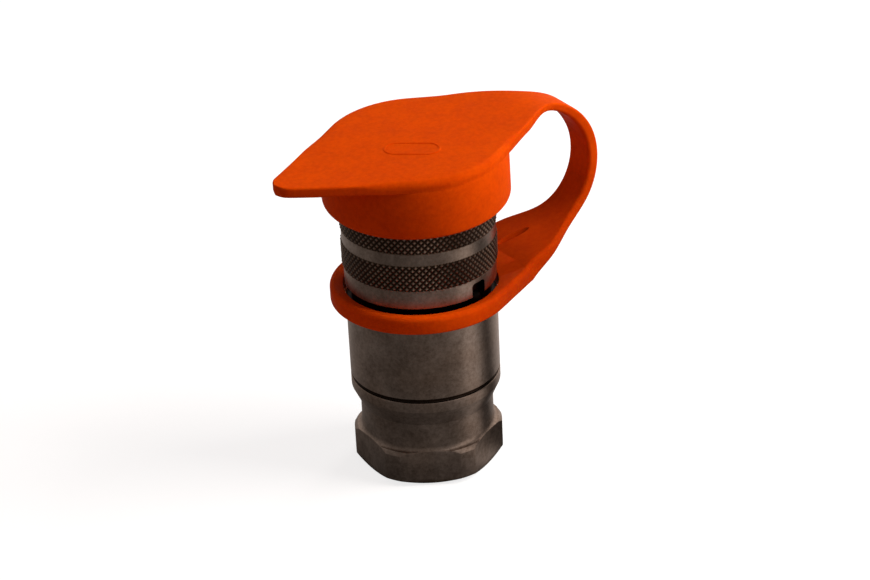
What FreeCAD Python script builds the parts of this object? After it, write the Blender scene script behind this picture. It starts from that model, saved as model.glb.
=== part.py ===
import FreeCAD, Part
import math
import os

# Flat face quick coupler, female half of nominal size 12.5, with its dust cap on.
# Frame: millimetres, origin at the mouth of the threaded port, +Z along the axis to the
# flat mating face. The strap of the dust cap leaves towards +X and the pull tab towards -X.

# Driving sizes of the metal body
coupler_length = 82.2
barrel_diameter = 37.1
hex_across_flats = 34.0
hex_turn = -122.0
hex_height = 9.3
hex_slope_height = 3.2
hex_end_diameter = 31.4
hex_end_chamfer_height = 1.5
neck_diameter = 33.0
neck_end_height = 17.0
collar_start_height = 21.5
joint_height = 24.9
joint_chamfer = 0.35
joint_groove_width = 0.8
joint_groove_depth = 0.7

# Port thread, G 1/2: bore at the thread's crests
port_bore_diameter = 18.63
port_thread_length = 14.5
port_mouth_chamfer = 0.5
port_relief_diameter = 21.2
port_relief_width = 2.0

# Adapter nose inside the front body
nose_height = 44.0
nose_thread_diameter = 28.7
nose_thread_length = 9.0
nose_thread_relief = 1.2
nose_pilot_diameter = 27.7
nose_chamfer = 0.5

# Front body
barrel_top_height = 45.6
guide_diameter = 34.3
guide_length = 7.4
cage_diameter = 30.4
retainer_bore_diameter = 26.0
retainer_bore_below_face = 17.2
nipple_bore_diameter = 24.6
front_edge_chamfer = 0.4

# Locking sleeve
sleeve_diameter = 38.0
sleeve_band_diameter = 37.1
sleeve_groove_diameter = 37.4
sleeve_rear_gap = 4.1
plain_band_height = 4.7
knurl_height = 7.0
groove_width = 2.8
knurl_edge_chamfer = 0.35
sleeve_below_face = 1.7
sleeve_front_chamfer = 1.0
sleeve_edge_chamfer = 0.3
spring_chamber_diameter = 34.5
spring_chamber_length = 16.3
land_diameter = 30.6
relief_diameter = 33.0
stop_bore_diameter = 35.0
sleeve_forward_travel = 3.4

# Notch of the sleeve and the ball that the sleeve locks against
notch_angle = -74.3
notch_width = 4.6
notch_height = 3.7
notch_corner_radius = 1.0
lock_ball_diameter = 3.6
lock_ball_below_sleeve = 0.8
lock_ball_sink = 0.6

# Ring of locking balls
ball_count = 12
ball_diameter = 4.0
ball_row_below_face = 7.2
pocket_mouth_diameter = 3.5
pocket_cone_depth = 0.9

# Stop ring in the body's front groove
stop_ring_below_face = 3.0
stop_ring_thickness = 1.2
stop_ring_width = 2.85
stop_ring_gap_angle = 14.0
stop_ring_groove_depth = 0.85

# Sliding parts behind the flat face
retainer_collar_height = 2.4
retainer_collar_diameter = 25.8
valve_outer_diameter = 21.0
valve_rear_diameter = 17.2
valve_rear_bore = 14.4
valve_front_bore = 15.2
valve_step_below_face = 16.2
valve_step_length = 1.0
valve_guide_length = 5.5

# Fixed stem with the flat head
stem_head_diameter = 17.3
stem_head_height = 3.3
stem_cone_height = 3.4
stem_rod_diameter = 6.0
stem_seat_diameter = 8.4
stem_seat_height = 1.8
stem_thread_diameter = 4.8
stem_nut_flats = 8.0
stem_nut_height = 3.0
stem_thread_tail = 0.6

# Spider that carries the stem
spider_diameter = 18.3
spider_height = 5.0
spider_bottom_height = 18.4
spider_rim_width = 1.7
spider_hub_diameter = 9.4
spider_arm_width = 2.4
spider_arm_count = 3
spider_shoulder_width = 2.0
spider_passage_diameter = 15.6
spider_ring_thickness = 1.0
spider_ring_diameter = 20.0
spider_ring_bore = 15.8
spider_ring_gap_angle = 40.0

# Springs: wire size and number of free coils
sleeve_spring_wire = 1.6
sleeve_spring_coils = 4.5
valve_spring_wire = 1.2
valve_spring_coils = 5.5
retainer_spring_wire = 1.2
retainer_spring_coils = 4.0
spring_grind = 0.25

# Seals and backup rings: radial section and groove lengths
seal_section = 1.65
backup_thickness = 0.8
stem_seal_section = 1.0
nipple_seal_below_face = 13.6
valve_seal_below_nose = 3.8
body_seal_below_nose = 7.5

# Dust cap moulding: cap, pull tab, strap and ring in one piece
cap_above_sleeve = 5.85
cap_plate_thickness = 2.7
cap_skirt_height = 12.1
cap_skirt_diameter = 45.4
cap_top_diameter = 43.8
cap_skirt_edge = 0.8
cap_edge = 1.2
cap_tilt = 4.6
cap_tilt_direction = 58.0
tab_reach = 38.0
tab_tip_radius = 4.0
plate_end_reach = 26.0
plate_end_half_width = 10.6
strap_edge = 0.4
ring_below_sleeve = 4.8
ring_thickness = 4.3
ring_wall = 3.5
ring_edge = 0.5
tail_reach = 24.0
tail_half_width = 12.7

# Route of the strap's middle line in the XZ plane: distance from the axis, share of the
# height from the ring's foot to the cap's top, and half width of the strap there
strap_route = [
    (36.4, 0.967, 5.8),
    (45.4, 0.854, 5.0),
    (50.0, 0.615, 4.7),
    (47.7, 0.369, 4.7),
    (42.2, 0.217, 5.6),
    (33.6, 0.121, 9.6),
]
strap_sections = 18

# How far cutters reach past a surface, and how close a point counts as on it
overcut = 1.0
tolerance = 0.01

# Clearances
running_fit = 0.05
thread_fit = 0.05
groove_fit = 0.05
seat_gap = 0.3
guide_fit = 0.1
seal_fit = 0.03
cap_fit = 0.1
ring_fit = 0.1


def vec(x, y, z):
    return FreeCAD.Vector(x, y, z)


AXIS = vec(0, 0, 1)
ORIGIN = vec(0, 0, 0)


def turned(profile):
    """Solid of revolution about Z from a closed outline of (radius, height) points."""
    points = [vec(r, 0, z) for r, z in profile]
    outline = Part.makePolygon(points + [points[0]])
    return Part.Face(outline).revolve(ORIGIN, AXIS, 360)


def tube(outer_diameter, inner_diameter, bottom, top):
    """Plain ring or tube on the axis."""
    outer = outer_diameter / 2
    inner = inner_diameter / 2
    return turned([(inner, bottom), (outer, bottom), (outer, top), (inner, top)])


def disc(diameter, bottom, top):
    return Part.makeCylinder(diameter / 2, top - bottom, vec(0, 0, bottom))


def cone(bottom_diameter, top_diameter, bottom, top):
    return Part.makeCone(bottom_diameter / 2, top_diameter / 2, top - bottom, vec(0, 0, bottom))


def at_angle(shape, degrees):
    copy = shape.copy()
    copy.rotate(ORIGIN, AXIS, degrees)
    return copy


def wedge(degrees, reach, bottom, top):
    """Slice of a disc centred on +X, used to open the gap of a split ring."""
    half = math.radians(degrees / 2)
    far = vec(reach * math.cos(half), reach * math.sin(half), bottom)
    near = vec(reach * math.cos(half), -reach * math.sin(half), bottom)
    outline = Part.makePolygon([vec(0, 0, bottom), near, far, vec(0, 0, bottom)])
    return Part.Face(outline).extrude(vec(0, 0, top - bottom))


def hexagon_outline(flats, height):
    """Hexagon of the given width across its flats, with a flat facing +X."""
    corner = flats / 2 / math.cos(math.pi / 6)
    turns = [math.radians(30 + 60 * i) for i in range(7)]
    return Part.makePolygon([vec(corner * math.cos(a), corner * math.sin(a), height) for a in turns])


def hexagon(flats, bottom, top):
    """Hexagonal prism with a flat facing +X."""
    return Part.Face(hexagon_outline(flats, bottom)).extrude(vec(0, 0, top - bottom))


def coil_spring(inner_diameter, outer_diameter, wire, coils, bottom, top):
    """Compression spring with its two ends ground flat, centred between two walls."""
    middle = (inner_diameter + outer_diameter) / 4
    ground = wire * spring_grind
    start = bottom + wire / 2 - ground
    length = top - bottom - wire + 2 * ground
    helix = Part.makeHelix(length / coils, length, middle)
    helix.translate(vec(0, 0, start))
    section = Part.Wire(Part.makeCircle(wire / 2, vec(middle, 0, start), vec(0, 1, 0)))
    swept = Part.Wire(helix).makePipeShell([section], True, True)
    kept = disc(outer_diameter + 2 * wire, bottom, top)
    return swept.common(kept).Solids[0]


def seal_ring(inner_diameter, section, height):
    """O-ring whose hole has the given diameter."""
    return Part.makeTorus(inner_diameter / 2 + section / 2, section / 2, vec(0, 0, height))


# Places worked out from the driving sizes
sleeve_bottom_height = barrel_top_height + sleeve_rear_gap
sleeve_front_height = coupler_length - sleeve_below_face
guide_top_height = barrel_top_height + guide_length
lower_band_top = sleeve_bottom_height + plain_band_height
land_start_height = sleeve_bottom_height + spring_chamber_length
lock_ball_height = sleeve_bottom_height - lock_ball_below_sleeve
retainer_bore_top = coupler_length - retainer_bore_below_face
valve_step_height = coupler_length - valve_step_below_face
valve_rear_height = nose_height - valve_guide_length
cap_top_height = sleeve_front_height + cap_above_sleeve
ring_bottom_height = sleeve_bottom_height - ring_below_sleeve
ring_radius = sleeve_diameter / 2 + ring_fit + ring_wall
ball_row_height = coupler_length - ball_row_below_face
ball_circle_radius = nipple_bore_diameter / 2 + ball_diameter / 2
stop_ring_top = coupler_length - stop_ring_below_face + stop_ring_thickness
stop_ring_bottom = stop_ring_top - stop_ring_thickness
stop_ring_bore = cage_diameter - 2 * (stop_ring_groove_depth - groove_fit)
nipple_seal_height = coupler_length - nipple_seal_below_face
seal_groove_length = seal_section + backup_thickness + 3 * groove_fit
seal_groove_depth = seal_section + seal_fit
valve_guide_bore = valve_rear_diameter + 2 * running_fit
valve_seal_height = nose_height - valve_seal_below_nose
body_seal_height = nose_height - body_seal_below_nose
retainer_bottom = retainer_bore_top - running_fit - retainer_collar_height
stem_head_bore = stem_head_diameter + 2 * running_fit
stem_head_underside = coupler_length - stem_head_height
spider_top_height = spider_bottom_height + spider_height
upper_knurl_bottom = lower_band_top + knurl_height + groove_width
upper_knurl_top = upper_knurl_bottom + knurl_height


def hexagon_end():
    """Hexagon with turned corners, a bevelled end and six slopes that rise to the neck."""
    top = hex_height + hex_slope_height
    slope_flats = neck_diameter * math.cos(math.pi / 6)
    base = hexagon(hex_across_flats, 0, hex_height)
    slopes = Part.makeLoft([
        hexagon_outline(hex_across_flats, hex_height),
        hexagon_outline(slope_flats, top),
    ], True)
    turned_blank = turned([
        (0, 0),
        (hex_end_diameter / 2, 0),
        (barrel_diameter / 2, hex_end_chamfer_height),
        (barrel_diameter / 2, top),
        (0, top),
    ])
    return at_angle(base.fuse(slopes), hex_turn).common(turned_blank)


def rear_adapter():
    """Hexagon end with the threaded port, neck, collar and the nose that screws into the body."""
    barrel = barrel_diameter / 2
    neck = neck_diameter / 2
    thread = nose_thread_diameter / 2
    pilot = nose_pilot_diameter / 2
    thread_top = joint_height + nose_thread_length
    body = turned([
        (0, hex_end_chamfer_height),
        (neck, hex_end_chamfer_height),
        (neck, neck_end_height),
        (barrel, collar_start_height),
        (barrel, joint_height - joint_groove_width),
        (barrel - joint_groove_depth, joint_height - joint_groove_width),
        (barrel - joint_groove_depth, joint_height),
        (thread, joint_height),
        (thread, thread_top),
        (pilot - nose_chamfer, thread_top),
        (pilot - nose_chamfer, thread_top + nose_thread_relief),
        (pilot, thread_top + nose_thread_relief + nose_chamfer),
        (pilot, nose_height - nose_chamfer),
        (pilot - nose_chamfer, nose_height),
        (0, nose_height),
    ])
    body = body.fuse(hexagon_end()).removeSplitter()
    # Port with its mouth chamfer and thread relief
    relief_bottom = port_thread_length
    relief_top = relief_bottom + port_relief_width
    body = body.cut(disc(port_bore_diameter, 0, spider_top_height + groove_fit))
    mouth = port_bore_diameter + 2 * port_mouth_chamfer
    body = body.cut(cone(mouth, port_bore_diameter, 0, port_mouth_chamfer))
    body = body.cut(disc(port_relief_diameter, relief_bottom, relief_top))
    # Groove of the ring that holds the spider up
    ring_top = spider_bottom_height
    ring_bottom = ring_top - spider_ring_thickness
    groove_top = ring_top + groove_fit
    body = body.cut(disc(spider_ring_diameter + 2 * groove_fit, ring_bottom - groove_fit, groove_top))
    # Passage above the spider, then the guide bore of the valve sleeve with its seal groove
    shoulder_top = spider_top_height + spider_shoulder_width
    body = body.cut(disc(spider_passage_diameter, spider_top_height, shoulder_top))
    body = body.cut(disc(valve_guide_bore, shoulder_top, nose_height))
    groove_wide = valve_rear_diameter + 2 * seal_groove_depth
    groove_low = valve_seal_height - seal_section / 2 - groove_fit
    body = body.cut(disc(groove_wide, groove_low, groove_low + seal_groove_length))
    # Outer groove of the seal between nose and body
    groove_low = body_seal_height - seal_section / 2 - groove_fit
    groove_high = groove_low + seal_section + 2 * groove_fit
    bore = nose_pilot_diameter + 2 * running_fit
    groove_root = bore - 2 * (seal_section + seal_fit)
    body = body.cut(tube(nose_pilot_diameter + overcut, groove_root, groove_low, groove_high))
    return body


def front_body():
    """Barrel, sleeve guide and ball cage in one turned piece."""
    barrel = barrel_diameter / 2
    guide = guide_diameter / 2
    cage = cage_diameter / 2
    thread = nose_thread_diameter / 2 + thread_fit
    pilot = nose_pilot_diameter / 2 + running_fit
    bore = retainer_bore_diameter / 2
    nipple = nipple_bore_diameter / 2
    thread_top = joint_height + nose_thread_length
    body = turned([
        (thread, joint_height),
        (barrel - joint_chamfer, joint_height),
        (barrel, joint_height + joint_chamfer),
        (barrel, barrel_top_height - joint_chamfer),
        (barrel - joint_chamfer, barrel_top_height),
        (guide, barrel_top_height),
        (guide, guide_top_height),
        (cage, guide_top_height),
        (cage, coupler_length - front_edge_chamfer),
        (cage - front_edge_chamfer, coupler_length),
        (nipple + front_edge_chamfer, coupler_length),
        (nipple, coupler_length - front_edge_chamfer),
        (nipple, retainer_bore_top),
        (bore, retainer_bore_top),
        (bore, nose_height + seat_gap),
        (pilot, nose_height + seat_gap),
        (pilot, thread_top + nose_thread_relief),
        (thread, thread_top + nose_thread_relief),
    ])
    # Groove of the nipple seal and its backup ring
    groove_low = nipple_seal_height - seal_section / 2 - groove_fit
    groove_wide = retainer_outer_diameter() + 2 * seal_groove_depth
    body = body.cut(disc(groove_wide, groove_low, groove_low + seal_groove_length))
    # Groove of the stop ring
    root = cage_diameter - 2 * stop_ring_groove_depth
    low = stop_ring_bottom - groove_fit
    body = body.cut(tube(cage_diameter + overcut, root, low, stop_ring_top + groove_fit))
    # Pockets of the locking balls, narrowed towards the bore
    pocket = ball_pocket()
    for index in range(ball_count):
        body = body.cut(at_angle(pocket, 360 / ball_count * index))
    # Blind hole of the lock ball
    hole = Part.makeCylinder(
        lock_ball_diameter / 2 + running_fit,
        lock_ball_diameter,
        vec(lock_ball_radius() - lock_ball_diameter / 2 - running_fit, 0, lock_ball_height),
        vec(1, 0, 0),
    )
    return body.cut(at_angle(hole, notch_angle))


def ball_pocket():
    """Radial hole of one locking ball, with a narrow mouth that keeps the ball from falling in."""
    mouth = pocket_mouth_diameter / 2
    wide = ball_diameter / 2 + running_fit
    inside = nipple_bore_diameter / 2
    cone_end = inside + pocket_cone_depth
    outside = cage_diameter / 2 + overcut
    outward = vec(1, 0, 0)
    start = valve_outer_diameter / 2
    pocket = Part.makeCylinder(mouth, inside - start, vec(start, 0, 0), outward)
    pocket = pocket.fuse([
        Part.makeCone(mouth, wide, pocket_cone_depth, vec(inside, 0, 0), outward),
        Part.makeCylinder(wide, outside - cone_end, vec(cone_end, 0, 0), outward),
    ])
    pocket.translate(vec(0, 0, ball_row_height))
    return pocket


def retainer_outer_diameter():
    return nipple_bore_diameter - 2 * guide_fit


def lock_ball_radius():
    """Distance of the lock ball's centre from the axis."""
    return guide_diameter / 2 - lock_ball_sink


def sleeve_ramp_touch():
    """Height at which the sleeve's ramp meets the land when it rests against the balls."""
    lean = ball_diameter / 2 * math.sqrt(0.5)
    ball_side = ball_circle_radius + lean
    return ball_row_height - lean - (ball_side - land_diameter / 2) - running_fit


def locking_sleeve():
    """Knurled sleeve with its spring chamber, locking land, relief and notch."""
    outer = sleeve_diameter / 2
    band = sleeve_band_diameter / 2
    groove = sleeve_groove_diameter / 2
    land = land_diameter / 2
    relief = relief_diameter / 2
    chamber = spring_chamber_diameter / 2
    stop = stop_bore_diameter / 2
    lower_top = lower_band_top + knurl_height
    ramp = sleeve_ramp_touch()
    shoulder = stop_ring_bottom - sleeve_forward_travel
    sleeve = turned([
        (chamber, sleeve_bottom_height),
        (band - sleeve_edge_chamfer, sleeve_bottom_height),
        (band, sleeve_bottom_height + sleeve_edge_chamfer),
        (band, lower_band_top),
        (outer - knurl_edge_chamfer, lower_band_top),
        (outer, lower_band_top + knurl_edge_chamfer),
        (outer, lower_top - knurl_edge_chamfer),
        (groove, lower_top),
        (groove, upper_knurl_bottom),
        (outer, upper_knurl_bottom + knurl_edge_chamfer),
        (outer, upper_knurl_top - knurl_edge_chamfer),
        (groove, upper_knurl_top),
        (groove, sleeve_front_height - sleeve_front_chamfer),
        (groove - sleeve_front_chamfer, sleeve_front_height),
        (stop, sleeve_front_height),
        (stop, shoulder),
        (relief, shoulder),
        (relief, ramp + relief - land),
        (land, ramp),
        (land, land_start_height),
        (chamber, land_start_height),
    ])
    # Notch, open below, with rounded upper corners
    reach = outer - land
    slot = Part.makeBox(
        reach, notch_width, 2 * notch_height,
        vec(land, -notch_width / 2, sleeve_bottom_height - notch_height),
    )
    half_up = sleeve_bottom_height + notch_height / 2
    corners = edge_through(slot, lambda p: p.z > half_up and abs(p.y) > notch_width / 4)
    slot = slot.makeFillet(notch_corner_radius, corners)
    return sleeve.cut(at_angle(slot, notch_angle))


def sleeve_spring():
    return coil_spring(
        cage_diameter, spring_chamber_diameter, sleeve_spring_wire, sleeve_spring_coils,
        guide_top_height, land_start_height,
    )


def sleeve_stop_ring():
    """Split ring that the sleeve's inner shoulder meets when it springs forward."""
    outer = stop_ring_bore + 2 * stop_ring_width
    ring = tube(outer, stop_ring_bore, stop_ring_bottom, stop_ring_top)
    gap = wedge(stop_ring_gap_angle, outer, stop_ring_bottom - overcut, stop_ring_top + overcut)
    return ring.cut(gap)


def sleeve_lock_ball():
    ball = Part.makeSphere(lock_ball_diameter / 2, vec(lock_ball_radius(), 0, lock_ball_height))
    return at_angle(ball, notch_angle)


def locking_ball(index):
    ball = Part.makeSphere(ball_diameter / 2, vec(ball_circle_radius, 0, ball_row_height))
    return at_angle(ball, 360 / ball_count * index)


def ball_retainer():
    """Sliding ring that fills the socket's mouth and holds the locking balls out."""
    outer = retainer_outer_diameter() / 2
    inner = valve_outer_diameter / 2 + guide_fit
    collar = retainer_collar_diameter / 2
    collar_top = retainer_bottom + retainer_collar_height
    return turned([
        (inner, retainer_bottom),
        (collar, retainer_bottom),
        (collar, collar_top),
        (outer, collar_top),
        (outer, coupler_length - front_edge_chamfer),
        (outer - front_edge_chamfer, coupler_length),
        (inner, coupler_length),
    ])


def retainer_spring():
    return coil_spring(
        valve_outer_diameter, retainer_bore_diameter, retainer_spring_wire, retainer_spring_coils,
        nose_height, retainer_bottom,
    )


def valve_sleeve():
    """Tubular valve that seals on the stem's head and slides back with the nipple."""
    front = valve_outer_diameter / 2
    rear = valve_rear_diameter / 2
    head = stem_head_bore / 2
    slope = stem_cone_height / (stem_head_diameter / 2 - stem_rod_diameter / 2)
    seat_top = stem_head_underside - running_fit
    seat_bottom = seat_top - slope * (head - valve_front_bore / 2)
    return turned([
        (valve_rear_bore / 2, valve_rear_height),
        (rear, valve_rear_height),
        (rear, valve_step_height),
        (front, valve_step_height),
        (front, coupler_length),
        (head, coupler_length),
        (head, seat_top),
        (valve_front_bore / 2, seat_bottom),
        (valve_front_bore / 2, valve_step_height),
        (valve_rear_bore / 2, valve_step_height - valve_step_length),
    ])


def valve_spring():
    return coil_spring(
        valve_rear_diameter, valve_outer_diameter, valve_spring_wire, valve_spring_coils,
        nose_height, valve_step_height,
    )


def valve_stem():
    """Fixed stem with the flat head, a seal groove, a seat and a threaded end."""
    head = stem_head_diameter / 2
    rod = stem_rod_diameter / 2
    seat = stem_seat_diameter / 2
    thread = stem_thread_diameter / 2
    tail = spider_bottom_height - stem_nut_height - stem_thread_tail
    stem = turned([
        (0, tail),
        (thread, tail),
        (thread, spider_top_height),
        (seat, spider_top_height),
        (seat, spider_top_height + stem_seat_height),
        (rod, spider_top_height + stem_seat_height),
        (rod, stem_head_underside - stem_cone_height),
        (head, stem_head_underside),
        (head, coupler_length),
        (0, coupler_length),
    ])
    low = stem_seal_height() - stem_seal_section / 2 - groove_fit
    high = low + stem_seal_section + 2 * groove_fit
    root = stem_head_bore - 2 * (stem_seal_section + seal_fit)
    return stem.cut(tube(stem_head_diameter + overcut, root, low, high))


def stem_seal_height():
    return stem_head_underside + stem_head_height / 2


def stem_seal():
    inner = stem_head_bore - 2 * seal_fit - 2 * stem_seal_section
    return seal_ring(inner, stem_seal_section, stem_seal_height())


def stem_spider():
    """Rim, hub and arms that carry the stem and let the oil pass."""
    rim_bore = spider_diameter - 2 * spider_rim_width
    rim = tube(spider_diameter, rim_bore, spider_bottom_height, spider_top_height)
    hub = disc(spider_hub_diameter, spider_bottom_height, spider_top_height)
    reach = (spider_diameter + rim_bore) / 4
    arm = Part.makeBox(
        reach, spider_arm_width, spider_height,
        vec(0, -spider_arm_width / 2, spider_bottom_height),
    )
    arms = [at_angle(arm, 360 / spider_arm_count * i) for i in range(spider_arm_count)]
    spider = rim.fuse([hub] + arms).removeSplitter()
    bore = stem_thread_diameter + 2 * thread_fit
    return spider.cut(disc(bore, spider_bottom_height, spider_top_height))


def stem_nut():
    bottom = spider_bottom_height - stem_nut_height
    bore = stem_thread_diameter + 2 * thread_fit
    nut = hexagon(stem_nut_flats, bottom, spider_bottom_height)
    return nut.cut(disc(bore, bottom, spider_bottom_height))


def spider_retaining_ring():
    """Inner circlip under the spider."""
    bottom = spider_bottom_height - spider_ring_thickness
    ring = tube(spider_ring_diameter, spider_ring_bore, bottom, spider_bottom_height)
    gap = wedge(
        spider_ring_gap_angle, spider_ring_diameter,
        bottom - overcut, spider_bottom_height + overcut,
    )
    return ring.cut(gap)


def nipple_seal():
    inner = retainer_outer_diameter() + 2 * seal_fit
    return seal_ring(inner, seal_section - seal_fit, nipple_seal_height)


def nipple_backup_ring():
    low = nipple_seal_height + seal_section / 2 + groove_fit
    inner = retainer_outer_diameter() + 2 * running_fit
    outer = retainer_outer_diameter() + 2 * (seal_groove_depth - groove_fit)
    return tube(outer, inner, low, low + backup_thickness)


def valve_seal():
    inner = valve_rear_diameter + 2 * seal_fit
    return seal_ring(inner, seal_section - seal_fit, valve_seal_height)


def valve_backup_ring():
    low = valve_seal_height + seal_section / 2 + groove_fit
    inner = valve_rear_diameter + 2 * running_fit
    outer = valve_rear_diameter + 2 * (seal_groove_depth - groove_fit)
    return tube(outer, inner, low, low + backup_thickness)


def body_seal():
    bore = nose_pilot_diameter + 2 * running_fit
    return seal_ring(bore - 2 * seal_section - seal_fit, seal_section, body_seal_height)


def edge_through(shape, test):
    """Edges of a shape whose middle point passes the test."""
    found = []
    for edge in shape.Edges:
        middle = edge.valueAt((edge.FirstParameter + edge.LastParameter) / 2)
        if test(middle):
            found.append(edge)
    return found


def side_turn(radius, reach, half_width):
    """Angle on a disc at which the straight side of its drawn-out end leaves it."""
    far = math.hypot(reach, half_width)
    return math.atan2(half_width, reach) + math.acos(radius / far)


def drawn_out(radius, reach, half_width, height, tab_end=0, tip=0):
    """Disc drawn out towards +X to a straight end, and if asked towards -X to a round tip."""
    turn = side_turn(radius, reach, half_width)
    touch = vec(radius * math.cos(turn), radius * math.sin(turn), height)
    touch_low = vec(touch.x, -touch.y, height)
    corner = vec(reach, half_width, height)
    corner_low = vec(reach, -half_width, height)
    edges = [
        Part.LineSegment(touch_low, corner_low).toShape(),
        Part.LineSegment(corner_low, corner).toShape(),
        Part.LineSegment(corner, touch).toShape(),
    ]
    if tab_end == 0:
        edges.append(Part.Arc(touch, vec(-radius, 0, height), touch_low).toShape())
        return Part.Face(Part.Wire(Part.__sortEdges__(edges)))
    centre = tab_end - tip
    turn = math.acos((radius - tip) / centre)
    wide = vec(-radius * math.cos(turn), radius * math.sin(turn), height)
    wide_low = vec(wide.x, -wide.y, height)
    narrow = vec(-centre - tip * math.cos(turn), tip * math.sin(turn), height)
    narrow_low = vec(narrow.x, -narrow.y, height)
    edges += [
        Part.Arc(touch, vec(0, radius, height), wide).toShape(),
        Part.LineSegment(wide, narrow).toShape(),
        Part.Arc(narrow, vec(-tab_end, 0, height), narrow_low).toShape(),
        Part.LineSegment(narrow_low, wide_low).toShape(),
        Part.Arc(wide_low, vec(0, -radius, height), touch_low).toShape(),
    ]
    return Part.Face(Part.Wire(Part.__sortEdges__(edges)))


def cap_placement():
    """The cap sits askew on the sleeve: it leans about a level line through the skirt."""
    lean = math.radians(cap_tilt_direction)
    rise = vec(math.cos(lean), math.sin(lean), 0)
    hinge = rise.cross(AXIS)
    pivot = vec(0, 0, cap_pivot_height())
    return FreeCAD.Placement(vec(0, 0, 0), FreeCAD.Rotation(hinge, cap_tilt), pivot)


def cap_pivot_height():
    """Middle of the length over which the skirt grips the sleeve."""
    skirt_bottom = cap_top_height - cap_plate_thickness - cap_skirt_height
    return (skirt_bottom + sleeve_front_height) / 2


def cap_head():
    """Plate with the pull tab, and the skirt that grips the sleeve."""
    under = cap_top_height - cap_plate_thickness
    radius = cap_top_diameter / 2
    outline = drawn_out(
        radius, plate_end_reach, plate_end_half_width, under, tab_reach, tab_tip_radius
    )
    plate = outline.extrude(vec(0, 0, cap_plate_thickness))
    rim = edge_through(
        plate,
        lambda p: p.z > cap_top_height - tolerance and p.x < plate_end_reach - tolerance,
    )
    plate = plate.makeFillet(cap_edge, rim)
    tilt_room = (sleeve_front_height - cap_pivot_height()) * math.tan(math.radians(cap_tilt))
    grip = sleeve_diameter / 2 / math.cos(math.radians(cap_tilt)) + tilt_room + cap_fit
    bottom = under - cap_skirt_height
    outer = cap_skirt_diameter / 2
    skirt = turned([
        (grip, bottom),
        (outer - cap_skirt_edge, bottom),
        (outer, bottom + cap_skirt_edge),
        (radius, under),
        (grip, under),
    ])
    head = plate.fuse(skirt)
    head.Placement = cap_placement()
    return head


def cap_ring():
    """Retaining ring round the barrel, drawn out into the strap's tail."""
    tail = drawn_out(ring_radius, tail_reach, tail_half_width, ring_bottom_height)
    body = tail.extrude(vec(0, 0, ring_thickness))
    top = ring_bottom_height + ring_thickness
    rim = edge_through(
        body,
        lambda p: p.x < tail_reach - tolerance
        and min(abs(p.z - top), abs(p.z - ring_bottom_height)) < tolerance,
    )
    body = body.makeFillet(ring_edge, rim)
    bore = sleeve_diameter + 2 * ring_fit
    return body.cut(disc(bore, ring_bottom_height - overcut, top + overcut))


def strap_section(point, along, across, half_width, thickness):
    """Flat moulded section with small bevels, square to the strap's middle line."""
    normal = across.cross(along)
    half = thickness / 2
    bevel = strap_edge
    corners = [
        (half_width - bevel, half),
        (half_width, half - bevel),
        (half_width, bevel - half),
        (half_width - bevel, -half),
        (bevel - half_width, -half),
        (-half_width, bevel - half),
        (-half_width, half - bevel),
        (bevel - half_width, half),
    ]
    points = [point + across * w + normal * t for w, t in corners]
    return Part.makePolygon(points + [points[0]])


def curve_through(points, parameters, **ends):
    curve = Part.BSplineCurve()
    curve.interpolate(Points=points, Parameters=parameters, **ends)
    return curve


def cap_strap():
    """Strap lofted from the plate's end through the loop to the ring's tail."""
    placement = cap_placement()
    mid_plate = cap_top_height - cap_plate_thickness / 2
    start = placement.multVec(vec(plate_end_reach, 0, mid_plate))
    out = placement.Rotation.multVec(vec(1, 0, 0))
    side = placement.Rotation.multVec(vec(0, 1, 0))
    end = vec(tail_reach, 0, ring_bottom_height + ring_thickness / 2)
    rise = cap_top_height - ring_bottom_height
    points = [vec(x, 0, ring_bottom_height + rise * share) for x, share, width in strap_route]
    points = [start] + points + [end]
    widths = [width for x, share, width in strap_route]
    widths = [plate_end_half_width] + widths + [tail_half_width]
    knots = [0]
    for before, after in zip(points, points[1:]):
        knots.append(knots[-1] + (after - before).Length)
    length = knots[-1]
    route = curve_through(points, knots, InitialTangent=out, FinalTangent=vec(-1, 0, 0), Scale=False)
    plate_side = side_turn(cap_top_diameter / 2, plate_end_reach, plate_end_half_width)
    tail_side = side_turn(ring_radius, tail_reach, tail_half_width)
    spread = curve_through(
        [vec(k, width, 0) for k, width in zip(knots, widths)], knots,
        InitialTangent=vec(1, -1 / math.tan(plate_side), 0),
        FinalTangent=vec(1, 1 / math.tan(tail_side), 0),
        Scale=False,
    )
    sections = []
    for i in range(strap_sections + 1):
        share = i / strap_sections
        k = length * share
        along = route.tangent(k)[0]
        level = side * (1 - share) + vec(0, 1, 0) * share
        across = level - along * level.dot(along)
        across.normalize()
        swell = max(0, (k - knots[-2]) / (length - knots[-2]))
        thickness = cap_plate_thickness + (ring_thickness - cap_plate_thickness) * swell
        sections.append(strap_section(route.value(k), along, across, spread.value(k).y, thickness))
    return Part.makeLoft(sections, True)


def dust_cap():
    """One moulding: cap with pull tab, strap and ring."""
    return cap_head().fuse([cap_strap(), cap_ring()]).removeSplitter()


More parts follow.
